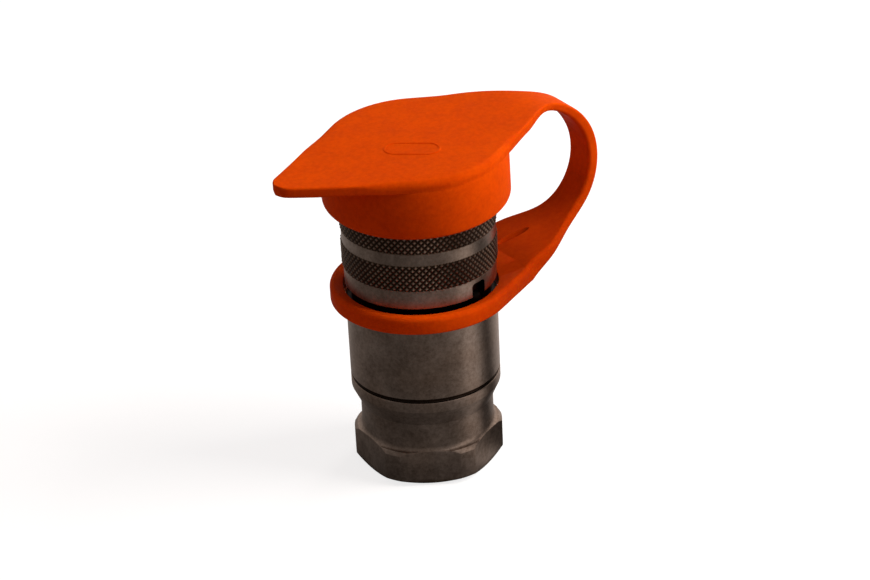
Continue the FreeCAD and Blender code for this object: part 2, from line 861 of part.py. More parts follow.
parts = {
    "rear_adapter": rear_adapter(),
    "front_body": front_body(),
    "locking_sleeve": locking_sleeve(),
    "sleeve_spring": sleeve_spring(),
    "sleeve_stop_ring": sleeve_stop_ring(),
    "sleeve_lock_ball": sleeve_lock_ball(),
    "ball_retainer": ball_retainer(),
    "retainer_spring": retainer_spring(),
    "valve_sleeve": valve_sleeve(),
    "valve_spring": valve_spring(),
    "valve_stem": valve_stem(),
    "stem_seal": stem_seal(),
    "stem_spider": stem_spider(),
    "stem_nut": stem_nut(),
    "spider_retaining_ring": spider_retaining_ring(),
    "nipple_seal": nipple_seal(),
    "nipple_backup_ring": nipple_backup_ring(),
    "valve_seal": valve_seal(),
    "valve_backup_ring": valve_backup_ring(),
    "body_seal": body_seal(),
    "dust_cap": dust_cap(),
}
for index in range(ball_count):
    parts[f"locking_ball_{index + 1:02d}"] = locking_ball(index)

os.makedirs("parts", exist_ok=True)
for name, shape in parts.items():
    shape.exportStep(f"parts/{name}.step")
    print(name, len(shape.Solids), shape.isValid(), round(shape.Volume, 1))
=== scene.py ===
import math

import bmesh
import bpy
import numpy as np
from mathutils import Matrix, Vector


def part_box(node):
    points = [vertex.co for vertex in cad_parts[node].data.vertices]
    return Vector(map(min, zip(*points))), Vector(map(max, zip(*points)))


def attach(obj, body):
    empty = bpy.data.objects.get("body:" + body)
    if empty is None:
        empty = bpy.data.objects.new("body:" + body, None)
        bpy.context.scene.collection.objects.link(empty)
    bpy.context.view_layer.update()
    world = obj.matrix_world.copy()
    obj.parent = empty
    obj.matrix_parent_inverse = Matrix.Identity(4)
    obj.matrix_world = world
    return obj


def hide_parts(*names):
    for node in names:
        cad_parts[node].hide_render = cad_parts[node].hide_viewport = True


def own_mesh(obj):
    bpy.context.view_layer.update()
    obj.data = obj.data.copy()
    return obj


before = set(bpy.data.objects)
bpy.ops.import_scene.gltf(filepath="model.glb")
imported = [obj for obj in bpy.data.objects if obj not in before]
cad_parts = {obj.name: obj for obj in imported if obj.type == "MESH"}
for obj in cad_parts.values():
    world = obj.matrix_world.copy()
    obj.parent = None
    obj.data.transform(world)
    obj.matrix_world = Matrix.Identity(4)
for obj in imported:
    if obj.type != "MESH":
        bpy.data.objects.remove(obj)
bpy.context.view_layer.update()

MM = 0.001


# Camera, from the photograph: a long lens looking down at the coupler

IMAGE_WIDTH = 870
FOCAL_PIXELS = 2335.05
SENSOR_WIDTH = 36.0
CAMERA_AZIMUTH = math.radians(-122.0)
CAMERA_DISTANCE = 507.01 * MM
CAMERA_HEIGHT = 306.79 * MM
CAMERA_PITCH = math.radians(-27.281)
CAMERA_YAW = math.radians(0.372)
CAMERA_ROLL = math.radians(-2.866)


def make_camera():
    """Camera at its azimuth round the axis, turned to the axis, then pitched and rolled."""
    heading = CAMERA_AZIMUTH + math.pi - CAMERA_YAW
    ahead = Vector((
        math.cos(heading) * math.cos(CAMERA_PITCH),
        math.sin(heading) * math.cos(CAMERA_PITCH),
        math.sin(CAMERA_PITCH),
    ))
    right = Vector((math.sin(heading), -math.cos(heading), 0.0))
    up = right.cross(ahead)
    rolled_right = right * math.cos(CAMERA_ROLL) + up * math.sin(CAMERA_ROLL)
    rolled_up = up * math.cos(CAMERA_ROLL) - right * math.sin(CAMERA_ROLL)
    data = bpy.data.cameras.new("camera")
    data.sensor_fit = "HORIZONTAL"
    data.sensor_width = SENSOR_WIDTH
    data.lens = FOCAL_PIXELS / IMAGE_WIDTH * SENSOR_WIDTH
    data.clip_start = 0.01
    camera = bpy.data.objects.new("camera", data)
    turn = Matrix((rolled_right, rolled_up, -ahead)).transposed().to_4x4()
    place = Vector((
        math.cos(CAMERA_AZIMUTH) * CAMERA_DISTANCE,
        math.sin(CAMERA_AZIMUTH) * CAMERA_DISTANCE,
        CAMERA_HEIGHT,
    ))
    camera.matrix_world = Matrix.Translation(place) @ turn
    bpy.context.collection.objects.link(camera)
    bpy.context.scene.camera = camera


# Materials

# Scales of the noise patterns, in waves per metre, from broad to fine
PLASTIC_SHADES = 40.0
BLOTCHES = 60.0
CLOUDS = 170.0
RUBBER_DUST = 600.0
PLASTIC_GRAIN = 800.0
SPECKLES = 1100.0
PLASTIC_SKIN = 1500.0
TURNING_LINES = 2600.0

# Tints that multiply a clean colour
CLEAN = (1.0, 1.0, 1.0)
STAINED = (0.74, 0.62, 0.5)
# Painted shade: the tints and black below, for knurl grooves, notch, joint, end chamfer, guide and
# the ring's tail
PIT_SHADE = (0.5, 0.42, 0.35)
PIT_FLOOR_SHADE = (0.13, 0.09, 0.07)
END_CHAMFER_SHADE = (0.42, 0.36, 0.31)
JOINT_SHADE = (0.08, 0.06, 0.05, 1.0)
BLACK_SHADE = (0.02, 0.016, 0.013, 1.0)
TAIL_SHADE = (0.6, 0.5, 0.48, 1.0)

# Where the painted shade fades, in millimetres: over depth, height or distance along X
PIT_SHADE_DEPTH = (0.04, 0.33)
NOTCH_SHADE_DEPTH = (0.1, 0.3)
JOINT_SHADE_WIDTH = (0.35, 0.6)
JOINT_SHADE_DEPTH = (0.05, 0.3)
GUIDE_SHADE_DROP = (0.05, 0.2)
BAND_SHADE_FADE = 0.1
PAINTED_SHADE_FADE = 0.2
END_CHAMFER_SHADE_HEIGHT = (0.9, 1.9)
TAIL_SHADE_ALONG = (-6.0, 14.0)
TAIL_SHADE_HEIGHT = (50.0, 66.0)


class Nodes:
    """Short way to build a node tree."""

    def __init__(self, tree):
        self.tree = tree
        tree.nodes.clear()

    def add(self, kind, inputs=None, **settings):
        node = self.tree.nodes.new(kind)
        for name, value in settings.items():
            setattr(node, name, value)
        for socket, value in (inputs or {}).items():
            if isinstance(value, bpy.types.NodeSocket):
                self.tree.links.new(value, node.inputs[socket])
            else:
                node.inputs[socket].default_value = value
        return node

    def ramp(self, factor, stops):
        node = self.add("ShaderNodeValToRGB", {"Fac": factor})
        elements = node.color_ramp.elements
        while len(elements) < len(stops):
            elements.new(0.5)
        for element, (position, colour) in zip(elements, stops):
            element.position = position
            element.color = (*colour, 1.0) if len(colour) == 3 else colour
        return node.outputs["Color"]

    def mix(self, factor, first, second, blend="MIX"):
        """Mix of two colours, which the node keeps at its inputs 6 and 7 and its output 2."""
        inputs = {0: factor, 6: first, 7: second}
        node = self.add("ShaderNodeMix", inputs, data_type="RGBA", blend_type=blend)
        return node.outputs[2]

    def maths(self, operation, first, second=0.0):
        node = self.add("ShaderNodeMath", {0: first, 1: second}, operation=operation)
        return node.outputs[0]

    def sum(self, *parts):
        """Sum of sockets, each times its share."""
        total, *rest = [self.maths("MULTIPLY", socket, share) for socket, share in parts]
        for part in rest:
            total = self.maths("ADD", total, part)
        return total

    def noise(self, place, scale, detail=4.0, roughness=0.55):
        node = self.add(
            "ShaderNodeTexNoise",
            {"Vector": place, "Scale": scale, "Detail": detail, "Roughness": roughness},
        )
        return node.outputs["Fac"]


def new_material(name):
    material = bpy.data.materials.new(name)
    material.use_nodes = True
    return material, Nodes(material.node_tree)


def finish_material(nodes, shader):
    nodes.add("ShaderNodeOutputMaterial", {"Surface": shader.outputs[0]})


def metal(name, dark, light, rough, turning=0.25, stains=0.5, painted_shade=None, lathe=0.0):
    """Plated turned steel: fine turning lines round the axis, a speckled plate and faint stains.

    Its colours and its roughness are given as lowest and highest. The turning lines are bump, and
    lathe is the share by which they also stretch the reflections.
    """
    material, nodes = new_material(name)
    place = nodes.add("ShaderNodeTexCoord").outputs["Object"]
    speckle = nodes.noise(place, SPECKLES, 5.0, 0.75)
    cloud = nodes.noise(place, CLOUDS, 5.0, 0.65)
    blotch = nodes.noise(place, BLOTCHES, 3.0)
    tone = nodes.sum((speckle, 0.55), (cloud, 0.45))
    colour = nodes.ramp(tone, [(0.36, dark), (0.64, light)])
    stain = nodes.ramp(blotch, [(0.42, CLEAN), (0.7, STAINED)])
    colour = nodes.mix(stains, colour, nodes.mix(1.0, colour, stain, "MULTIPLY"))
    # Painted shade from the given function, multiplied into the colour
    if painted_shade:
        colour = nodes.mix(1.0, colour, painted_shade(nodes, place), "MULTIPLY")
    split = nodes.add("ShaderNodeSeparateXYZ", {"Vector": place})
    height = nodes.add("ShaderNodeCombineXYZ", {"Z": split.outputs["Z"]})
    lines = nodes.noise(height.outputs[0], TURNING_LINES, 3.0, 0.8)
    relief = nodes.sum((lines, turning), (speckle, 0.15))
    bump = nodes.add("ShaderNodeBump", {"Height": relief, "Strength": 0.35, "Distance": 0.00006})
    low, high = rough
    roughness = nodes.add(
        "ShaderNodeMapRange",
        {"Value": cloud, "From Min": 0.3, "From Max": 0.7, "To Min": low, "To Max": high},
    )
    shader = nodes.add("ShaderNodeBsdfPrincipled", {
        "Base Color": colour,
        "Roughness": roughness.outputs[0],
        "Metallic": 1.0,
        "Normal": bump.outputs[0],
    })
    if lathe:
        tangent = nodes.add("ShaderNodeTangent", direction_type="RADIAL", axis="Z")
        nodes.tree.links.new(tangent.outputs[0], shader.inputs["Tangent"])
        shader.inputs["Anisotropic"].default_value = lathe
        shader.inputs["Anisotropic Rotation"].default_value = 0.25
    finish_material(nodes, shader)
    return material


def radius_of(nodes, place):
    """Distance of a place from the axis, and its height."""
    split = nodes.add("ShaderNodeSeparateXYZ", {"Vector": place})
    level = nodes.add("ShaderNodeCombineXYZ", {"X": split.outputs["X"], "Y": split.outputs["Y"]})
    length = nodes.add("ShaderNodeVectorMath", {0: level.outputs[0]}, operation="LENGTH")
    return length.outputs["Value"], split.outputs["Z"]


def step_mask(nodes, value, low, high):
    """0 below low, 1 above high, straight between them."""
    mapped = nodes.add("ShaderNodeMapRange", {"Value": value, "From Min": low, "From Max": high})
    return mapped.outputs[0]


def below(nodes, value, low, high):
    """1 below low, 0 above high, straight between them."""
    return nodes.maths("SUBTRACT", 1.0, step_mask(nodes, value, low, high))


def sunk(nodes, radius, surface, depths):
    """1 deeper under a surface's radius than the second depth, 0 above the first."""
    shallow, deep = depths
    return below(nodes, radius, (surface - deep) * MM, (surface - shallow) * MM)


def knurl_painted_shade(nodes, place):
    """Painted shade in the grooves of the two knurled bands, darker with depth, and black inside the
    notch.
    """
    radius, height = radius_of(nodes, place)
    middle = (LOWER_BAND_TOP + KNURL_HEIGHT + GROOVE_WIDTH / 2) * MM
    off = nodes.maths("ABSOLUTE", nodes.maths("SUBTRACT", height, middle))
    inner = (GROOVE_WIDTH / 2) * MM
    outer = (GROOVE_WIDTH / 2 + KNURL_HEIGHT - KNURL_EDGE) * MM
    band = nodes.maths(
        "MULTIPLY",
        step_mask(nodes, off, inner, inner + KNURL_EDGE * MM),
        below(nodes, off, outer, outer + BAND_SHADE_FADE * MM),
    )
    depth = sunk(nodes, radius, SLEEVE_RADIUS, PIT_SHADE_DEPTH)
    painted_shade = nodes.maths("MULTIPLY", band, depth)
    # Painted shade: the knurl's grooves get darker the deeper they lie
    grooves = nodes.ramp(painted_shade, [(0.0, CLEAN), (0.45, PIT_SHADE), (1.0, PIT_FLOOR_SHADE)])
    # Painted shade: black inside the notch and on the sleeve's inside below the lower band
    inside = nodes.maths(
        "MULTIPLY",
        sunk(nodes, radius, BAND_RADIUS, NOTCH_SHADE_DEPTH),
        below(nodes, height, LOWER_BAND_TOP * MM, (LOWER_BAND_TOP + PAINTED_SHADE_FADE) * MM),
    )
    return nodes.mix(inside, grooves, BLACK_SHADE)


def adapter_painted_shade(nodes, place):
    """Painted shade in the joint above the collar and on the end chamfer, and black on the guide
    under the sleeve.
    """
    radius, height = radius_of(nodes, place)
    near, far = JOINT_SHADE_WIDTH
    # Painted shade: the joint groove darkened almost to black
    off = nodes.maths("ABSOLUTE", nodes.maths("SUBTRACT", height, (JOINT_HEIGHT - near) * MM))
    joint = nodes.maths(
        "MULTIPLY",
        below(nodes, off, near * MM, far * MM),
        sunk(nodes, radius, BARREL_RADIUS, JOINT_SHADE_DEPTH),
    )
    # Painted shade: black on the barrel's top and the guide up to the guide's top
    small, large = GUIDE_SHADE_DROP
    guide = nodes.maths(
        "MULTIPLY",
        step_mask(nodes, height, (BARREL_TOP - large) * MM, (BARREL_TOP - small) * MM),
        below(nodes, height, GUIDE_TOP * MM, (GUIDE_TOP + PAINTED_SHADE_FADE) * MM),
    )
    # Painted shade: the lowest part, the end chamfer, is darkened
    foot = below(nodes, height, END_CHAMFER_SHADE_HEIGHT[0] * MM, END_CHAMFER_SHADE_HEIGHT[1] * MM)
    shade = nodes.ramp(foot, [(0.0, CLEAN), (1.0, END_CHAMFER_SHADE)])
    shade = nodes.mix(joint, shade, JOINT_SHADE)
    return nodes.mix(guide, shade, BLACK_SHADE)


def soft_plastic(name, bright, deep):
    """Soft moulded plastic: matte, faintly mottled, pebbled, and with painted shade on the ring's
    tail.
    """
    material, nodes = new_material(name)
    place = nodes.add("ShaderNodeTexCoord").outputs["Object"]
    mottle = nodes.noise(place, CLOUDS, 5.0, 0.6)
    broad = nodes.noise(place, PLASTIC_SHADES, 3.0)
    grain = nodes.noise(place, PLASTIC_GRAIN, 3.0, 0.7)
    skin = nodes.noise(place, PLASTIC_SKIN, 3.0, 0.6)
    tone = nodes.sum((mottle, 0.35), (broad, 0.2), (grain, 0.45))
    colour = nodes.ramp(tone, [(0.4, deep), (0.6, bright)])
    split = nodes.add("ShaderNodeSeparateXYZ", {"Vector": place})
    # Painted shade: the ring's tail, towards +X and low down, is darkened
    tail_shade = nodes.maths(
        "MULTIPLY",
        step_mask(nodes, split.outputs["X"], TAIL_SHADE_ALONG[0] * MM, TAIL_SHADE_ALONG[1] * MM),
        below(nodes, split.outputs["Z"], TAIL_SHADE_HEIGHT[0] * MM, TAIL_SHADE_HEIGHT[1] * MM),
    )
    colour = nodes.mix(tail_shade, colour, nodes.mix(1.0, colour, TAIL_SHADE, "MULTIPLY"))
    relief = nodes.sum((skin, 0.4), (mottle, 0.6))
    bump = nodes.add("ShaderNodeBump", {"Height": relief, "Strength": 0.35, "Distance": 0.0002})
    roughness = nodes.add(
        "ShaderNodeMapRange",
        {"Value": mottle, "From Min": 0.3, "From Max": 0.7, "To Min": 0.5, "To Max": 0.62},
    )
    shader = nodes.add("ShaderNodeBsdfPrincipled", {
        "Base Color": colour,
        "Roughness": roughness.outputs[0],
        "Specular IOR Level": 0.03,
        "Subsurface Weight": 0.15,
        "Subsurface Scale": 0.001,
        "Normal": bump.outputs[0],
    })
    shader.inputs["Subsurface Radius"].default_value = (1.0, 0.25, 0.08)
    finish_material(nodes, shader)
    return material


def rubber(name, dark, light, roughness):
    """Plain rubber or seal plastic, with a little dust in its colour and bump."""
    material, nodes = new_material(name)
    place = nodes.add("ShaderNodeTexCoord").outputs["Object"]
    dust = nodes.noise(place, RUBBER_DUST, 4.0)
    bump = nodes.add("ShaderNodeBump", {"Height": dust, "Strength": 0.2, "Distance": 0.0001})
    shader = nodes.add("ShaderNodeBsdfPrincipled", {
        "Base Color": nodes.ramp(dust, [(0.35, dark), (0.65, light)]),
        "Roughness": roughness,
        "Normal": bump.outputs[0],
    })
    finish_material(nodes, shader)
    return material


# Mesh helpers

def new_object(name, bm, material, smooth_angle=30.0):
    mesh = bpy.data.meshes.new(name)
    bmesh.ops.recalc_face_normals(bm, faces=bm.faces)
    bm.to_mesh(mesh)
    bm.free()
    obj = bpy.data.objects.new(name, mesh)
    bpy.context.collection.objects.link(obj)
    mesh.materials.append(material)
    smooth(obj, smooth_angle)
    return obj


def smooth(obj, angle):
    """Smooth shading, with edges sharper than the angle kept crisp."""
    mesh = obj.data
    mesh.polygons.foreach_set("use_smooth", [True] * len(mesh.polygons))
    mesh.set_sharp_from_angle(angle=math.radians(angle))


def apply_modifiers(obj):
    graph = bpy.context.evaluated_depsgraph_get()
    mesh = bpy.data.meshes.new_from_object(obj.evaluated_get(graph))
    obj.modifiers.clear()
    old = obj.data
    obj.data = mesh
    bpy.data.meshes.remove(old)


def bevel(obj, width, angle=30.0, segments=2):
    modifier = obj.modifiers.new("edges", "BEVEL")
    modifier.width = width
    modifier.limit_method = "ANGLE"
    modifier.angle_limit = math.radians(angle)
    modifier.segments = segments
    apply_modifiers(obj)


def boolean(obj, other, operation):
    modifier = obj.modifiers.new("boolean", "BOOLEAN")
    modifier.operation = operation
    modifier.solver = "EXACT"
    modifier.object = other
    apply_modifiers(obj)
    bpy.data.objects.remove(other)


def rings_to_mesh(rings, closed):
    """Skin over closed rings of points.

    If it is closed, the last ring joins the first, or else a face shuts each end.
    """
    bm = bmesh.new()
    loops = [[bm.verts.new(p) for p in ring] for ring in rings]
    pairs = list(zip(loops, loops[1:]))
    if closed:
        pairs.append((loops[-1], loops[0]))
    count = len(loops[0])
    for first, second in pairs:
        for i in range(count):
            j = (i + 1) % count
            bm.faces.new((first[i], first[j], second[j], second[i]))
    if not closed:
        bm.faces.new(loops[0])
        bm.faces.new(reversed(loops[-1]))
    return bm


def full_turn(count):
    """Evenly spaced angles round the axis."""
    return [2 * math.pi * i / count for i in range(count)]


def lathe_point(radius, angle, height):
    return Vector((radius * math.cos(angle), radius * math.sin(angle), height)) * MM


def arc_points(centre, radius, start, end, steps):
    """Points of an arc in a section plane, as (radius, height) pairs; angles in degrees."""
    turns = [math.radians(start + (end - start) * i / steps) for i in range(steps + 1)]
    return [(centre[0] + radius * math.cos(a), centre[1] + radius * math.sin(a)) for a in turns]


def cubic_through(knots, values, first_slope, last_slope):
    """Clamped cubic spline through values at the knots, as a function of the knot parameter."""
    knots = np.array(knots, float)
    values = np.array(values, float)
    count = len(knots)
    gaps = np.diff(knots)
    system = np.zeros((count, count))
    target = np.zeros((count,) + values.shape[1:])
    system[0, 0] = 1.0
    system[-1, -1] = 1.0
    target[0] = first_slope
    target[-1] = last_slope
    for i in range(1, count - 1):
        before, after = gaps[i - 1], gaps[i]
        system[i, i - 1] = after
        system[i, i] = 2 * (before + after)
        system[i, i + 1] = before
        rise_before = (values[i] - values[i - 1]) / before
        rise_after = (values[i + 1] - values[i]) / after
        target[i] = 3 * (after * rise_before + before * rise_after)
    slopes = np.linalg.solve(system, target)

    def value(k):
        i = int(np.clip(np.searchsorted(knots, k) - 1, 0, count - 2))
        h = gaps[i]
        t = (k - knots[i]) / h
        return (
            values[i] * (1 + 2 * t) * (1 - t) ** 2
            + slopes[i] * h * t * (1 - t) ** 2
            + values[i + 1] * t * t * (3 - 2 * t)
            + slopes[i + 1] * h * t * t * (t - 1)
        )

    return value


# Locking sleeve, with its two knurled bands

SLEEVE_LOW, SLEEVE_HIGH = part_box("locking_sleeve")
SLEEVE_BOTTOM = SLEEVE_LOW.z / MM
SLEEVE_FRONT = SLEEVE_HIGH.z / MM
SLEEVE_RADIUS = SLEEVE_HIGH.x / MM
BAND_RADIUS = 18.55
GROOVE_RADIUS = 18.7
LOWER_BAND_TOP = 54.4
KNURL_HEIGHT = 7.0
GROOVE_WIDTH = 2.8
KNURL_COUNT = 76
KNURL_ROW = 1.6
KNURL_DEPTH = 0.42
KNURL_CREST = 0.12
KNURL_EDGE = 0.3
LOWER_BAND_FLANK = 0.05
GROOVE_FLANK = 0.1
KNURL_STEPS_ROUND = 8
KNURL_STEPS_UP = 44
NOTCH_ANGLE = math.radians(-74.3)
NOTCH_WIDTH = 4.6
NOTCH_HEIGHT = 3.7
NOTCH_CORNER = 1.0
NOTCH_CORNER_STEPS = 5
NOTCH_OVERCUT = 1.0
NOTCH_REACH = (16.2, 20.0)
SLEEVE_EDGE = 0.3
SLEEVE_FRONT_CHAMFER = 1.0
SLEEVE_SPRING_BORE = 17.25
SLEEVE_SHOULDER = 66.0
SLEEVE_LOCK_BORE = 15.3
SLEEVE_CONE = (70.7, 71.9)
SLEEVE_RELIEF = 16.5
SLEEVE_RECESS = 17.5
SLEEVE_RECESS_FLOOR = 75.8


def ridge(phase):
    """Triangle wave from 0 in the groove to 1 on the ridge, with a narrow flat crest."""
    wave = 1 - abs(2 * (phase % 1.0) - 1)
    return min(1.0, wave / (1 - KNURL_CREST))


def knurl_radius(angle, height, bottom):
    """Outer radius of a knurled band: raised diamonds that run out at its two edges."""
    turns = angle / (2 * math.pi) * KNURL_COUNT
    rise = (height - bottom) / KNURL_ROW
    crest = min(ridge(turns + rise), ridge(turns - rise))
    from_edge = min(height - bottom, bottom + KNURL_HEIGHT - height)
    edge = min(1.0, max(0.0, from_edge / KNURL_EDGE))
    return SLEEVE_RADIUS - KNURL_DEPTH * (1 - crest) * edge - (1 - edge) * KNURL_EDGE


def sleeve_rings():
    """The sleeve's closed section as rows of radius, height and the bottom of the knurled band.

    Rows of a knurled band have no radius, and the other rows have no band.
    """
    plain = [
        (SLEEVE_SPRING_BORE, SLEEVE_BOTTOM),
        (BAND_RADIUS - SLEEVE_EDGE, SLEEVE_BOTTOM),
        (BAND_RADIUS, SLEEVE_BOTTOM + SLEEVE_EDGE),
        (BAND_RADIUS, LOWER_BAND_TOP - LOWER_BAND_FLANK),
    ]
    rows = [(r, z, None) for r, z in plain]
    for bottom in (LOWER_BAND_TOP, LOWER_BAND_TOP + KNURL_HEIGHT + GROOVE_WIDTH):
        for i in range(KNURL_STEPS_UP + 1):
            rows.append((None, bottom + KNURL_HEIGHT * i / KNURL_STEPS_UP, bottom))
        top = bottom + KNURL_HEIGHT
        rows.append((GROOVE_RADIUS, top + GROOVE_FLANK, None))
        rows.append((GROOVE_RADIUS, top + GROOVE_WIDTH / 2, None))
        if bottom == LOWER_BAND_TOP:
            rows.append((GROOVE_RADIUS, top + GROOVE_WIDTH - GROOVE_FLANK, None))
    inside = [
        (GROOVE_RADIUS, SLEEVE_FRONT - SLEEVE_FRONT_CHAMFER),
        (GROOVE_RADIUS - SLEEVE_FRONT_CHAMFER, SLEEVE_FRONT),
        (SLEEVE_RECESS, SLEEVE_FRONT),
        (SLEEVE_RECESS, SLEEVE_RECESS_FLOOR),
        (SLEEVE_RELIEF, SLEEVE_RECESS_FLOOR),
        (SLEEVE_RELIEF, SLEEVE_CONE[1]),
        (SLEEVE_LOCK_BORE, SLEEVE_CONE[0]),
        (SLEEVE_LOCK_BORE, SLEEVE_SHOULDER),
        (SLEEVE_SPRING_BORE, SLEEVE_SHOULDER),
    ]
    return rows + [(r, z, None) for r, z in inside]


def locking_sleeve():
    turns = full_turn(KNURL_COUNT * KNURL_STEPS_ROUND)
    rings = []
    for radius, height, bottom in sleeve_rings():
        if bottom is None:
            rings.append([lathe_point(radius, a, height) for a in turns])
        else:
            rings.append([lathe_point(knurl_radius(a, height, bottom), a, height) for a in turns])
    sleeve = new_object("knurled_sleeve", rings_to_mesh(rings, closed=True), KNURLED)
    boolean(sleeve, notch_cutter(), "DIFFERENCE")
    smooth(sleeve, angle=28.0)
    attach(sleeve, "sleeve")
    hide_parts("locking_sleeve")


def notch_cutter():
    """Slot with rounded upper corners, cut through the sleeve's lower edge."""
    side = NOTCH_WIDTH / 2
    centre = SLEEVE_BOTTOM + NOTCH_HEIGHT - NOTCH_CORNER
    steps = NOTCH_CORNER_STEPS
    outline = [(-side, SLEEVE_BOTTOM - NOTCH_OVERCUT)]
    outline += arc_points((NOTCH_CORNER - side, centre), NOTCH_CORNER, 180, 90, steps)
    outline += arc_points((side - NOTCH_CORNER, centre), NOTCH_CORNER, 90, 0, steps)
    outline.append((side, SLEEVE_BOTTOM - NOTCH_OVERCUT))
    out = Vector((math.cos(NOTCH_ANGLE), math.sin(NOTCH_ANGLE), 0.0))
    across = Vector((-out.y, out.x, 0.0))
    rings = []
    for reach in NOTCH_REACH:
        rings.append([(out * reach + across * w + Vector((0.0, 0.0, z))) * MM for w, z in outline])
    return new_object("notch_cutter", rings_to_mesh(rings, closed=False), KNURLED)


# Rear adapter: hexagon end, threaded port, neck and collar

BARREL_RADIUS = 18.55
BARREL_TOP = 45.6
GUIDE_TOP = 53.0
HEX_APOTHEM = 17.0
HEX_TURN = math.radians(-122.0)
HEX_HEIGHT = 9.45
HEX_EDGE_RADIUS = 17.75
HEX_EDGE_FALL = 0.85
HEX_END_RADIUS = 15.7
HEX_END_CHAMFER = 1.5
HEX_LAND_STEPS = 12
HEX_CORNER_STEPS = 5
NECK_RADIUS = 16.5
NECK_FILLET = 1.2
NECK_FILLET_STEPS = 6
NECK_END = 17.0
COLLAR_START = 21.5
JOINT_HEIGHT = 24.9
JOINT_GROOVE_WIDTH = 0.8
JOINT_GROOVE_DEPTH = 0.7
JOINT_GROOVE_EDGE = 0.15
THREAD_PITCH = 1.814
THREAD_CREST_RADIUS = 9.315
THREAD_DEPTH = 1.16
THREAD_TOP = 14.5
THREAD_FADE = (0.9, 0.6)
THREAD_STEPS = 12
ADAPTER_EDGE = 0.12
ADAPTER_MERGE = 0.004
NOSE_THREAD_RADIUS = 14.35
NOSE_THREAD_TOP = 33.9
NOSE_NECK_RADIUS = 13.35
NOSE_NECK_TOP = 35.1
NOSE_RADIUS = 13.85
NOSE_TOP = 44.0
NOSE_CHAMFER = 0.5
VALVE_BORE = 8.65
VALVE_STOP = 25.4
PASSAGE_RADIUS = 7.8
SPIDER_STOP = 23.4
SPIDER_RING_RADIUS = 10.05
SPIDER_RING_GROOVE = (17.35, 18.45)
RUNOUT_RADIUS = 10.6
RUNOUT_TOP = 16.5


def hex_angles():
    """Angles round the hexagon, with points on both ends of each turned corner."""
    land = math.acos(HEX_APOTHEM / BARREL_RADIUS)
    half = math.pi / 6
    across = [land * i / HEX_LAND_STEPS for i in range(-HEX_LAND_STEPS, HEX_LAND_STEPS + 1)]
    corner = [land + 2 * (half - land) * i / HEX_CORNER_STEPS for i in range(1, HEX_CORNER_STEPS)]
    return [math.pi / 3 * side + a for side in range(6) for a in across + corner]


def hex_offset(angle):
    """Angle from the middle of the nearest flat."""
    return (angle + math.pi / 6) % (math.pi / 3) - math.pi / 6


def adapter_outside(angle):
    """Section of the adapter's outside at one angle, from the end face up to the joint."""
    reach = min(BARREL_RADIUS, HEX_APOTHEM / math.cos(hex_offset(angle)))
    chamfer = HEX_END_CHAMFER * (reach - HEX_END_RADIUS) / (BARREL_RADIUS - HEX_END_RADIUS)
    centre = (NECK_RADIUS + NECK_FILLET, HEX_HEIGHT + NECK_FILLET)
    foot = min(reach, centre[0])
    start = 180 + math.degrees(math.acos((centre[0] - foot) / NECK_FILLET))
    fillet = arc_points(centre, NECK_FILLET, start, 180, NECK_FILLET_STEPS)
    over = max(0.0, reach - HEX_EDGE_RADIUS)
    fall = HEX_EDGE_FALL * over / (BARREL_RADIUS - HEX_EDGE_RADIUS)
    points = [
        (HEX_END_RADIUS, 0.0),
        (reach, chamfer),
        (reach, HEX_HEIGHT / 2),
        (reach, fillet[0][1] - fall),
        (min(reach, HEX_EDGE_RADIUS), fillet[0][1]),
    ]
    points += fillet
    points.append((NECK_RADIUS, NECK_END))
    groove_foot = JOINT_HEIGHT - JOINT_GROOVE_WIDTH
    groove_root = BARREL_RADIUS - JOINT_GROOVE_DEPTH
    points += [(BARREL_RADIUS, COLLAR_START), (BARREL_RADIUS, groove_foot - JOINT_GROOVE_EDGE)]
    points += [(BARREL_RADIUS - JOINT_GROOVE_EDGE, groove_foot), (groove_root, groove_foot)]
    points += [(groove_root, JOINT_HEIGHT), (NOSE_THREAD_RADIUS, JOINT_HEIGHT)]
    return points


def adapter_inside():
    """Nose, guide bore, spider seat and ring groove, down to the end of the port thread."""
    return [
        (NOSE_THREAD_RADIUS, NOSE_THREAD_TOP),
        (NOSE_NECK_RADIUS, NOSE_THREAD_TOP),
        (NOSE_NECK_RADIUS, NOSE_NECK_TOP),
        (NOSE_RADIUS, NOSE_NECK_TOP + NOSE_CHAMFER),
        (NOSE_RADIUS, NOSE_TOP - NOSE_CHAMFER),
        (NOSE_RADIUS - NOSE_CHAMFER, NOSE_TOP),
        (VALVE_BORE, NOSE_TOP),
        (VALVE_BORE, VALVE_STOP),
        (PASSAGE_RADIUS, VALVE_STOP),
        (PASSAGE_RADIUS, SPIDER_STOP),
        (THREAD_CREST_RADIUS, SPIDER_STOP),
        (THREAD_CREST_RADIUS, SPIDER_RING_GROOVE[1]),
        (SPIDER_RING_RADIUS, SPIDER_RING_GROOVE[1]),
        (SPIDER_RING_RADIUS, SPIDER_RING_GROOVE[0]),
        (THREAD_CREST_RADIUS, SPIDER_RING_GROOVE[0]),
        (THREAD_CREST_RADIUS, RUNOUT_TOP),
        (RUNOUT_RADIUS, RUNOUT_TOP),
        (RUNOUT_RADIUS, THREAD_TOP),
    ]


def thread_radius(angle, height):
    """Whitworth form: rounded ridges that wind up the port and fade out at its mouth."""
    phase = (height / THREAD_PITCH - angle / (2 * math.pi)) % 1.0
    ridge_height = 0.5 - 0.5 * math.cos(2 * math.pi * phase)
    fade = min(1.0, max(0.0, height / THREAD_FADE[0]))
    fade *= min(1.0, max(0.0, (THREAD_TOP - height) / THREAD_FADE[1]))
    root = THREAD_CREST_RADIUS + THREAD_DEPTH
    return root - THREAD_DEPTH * ridge_height * fade


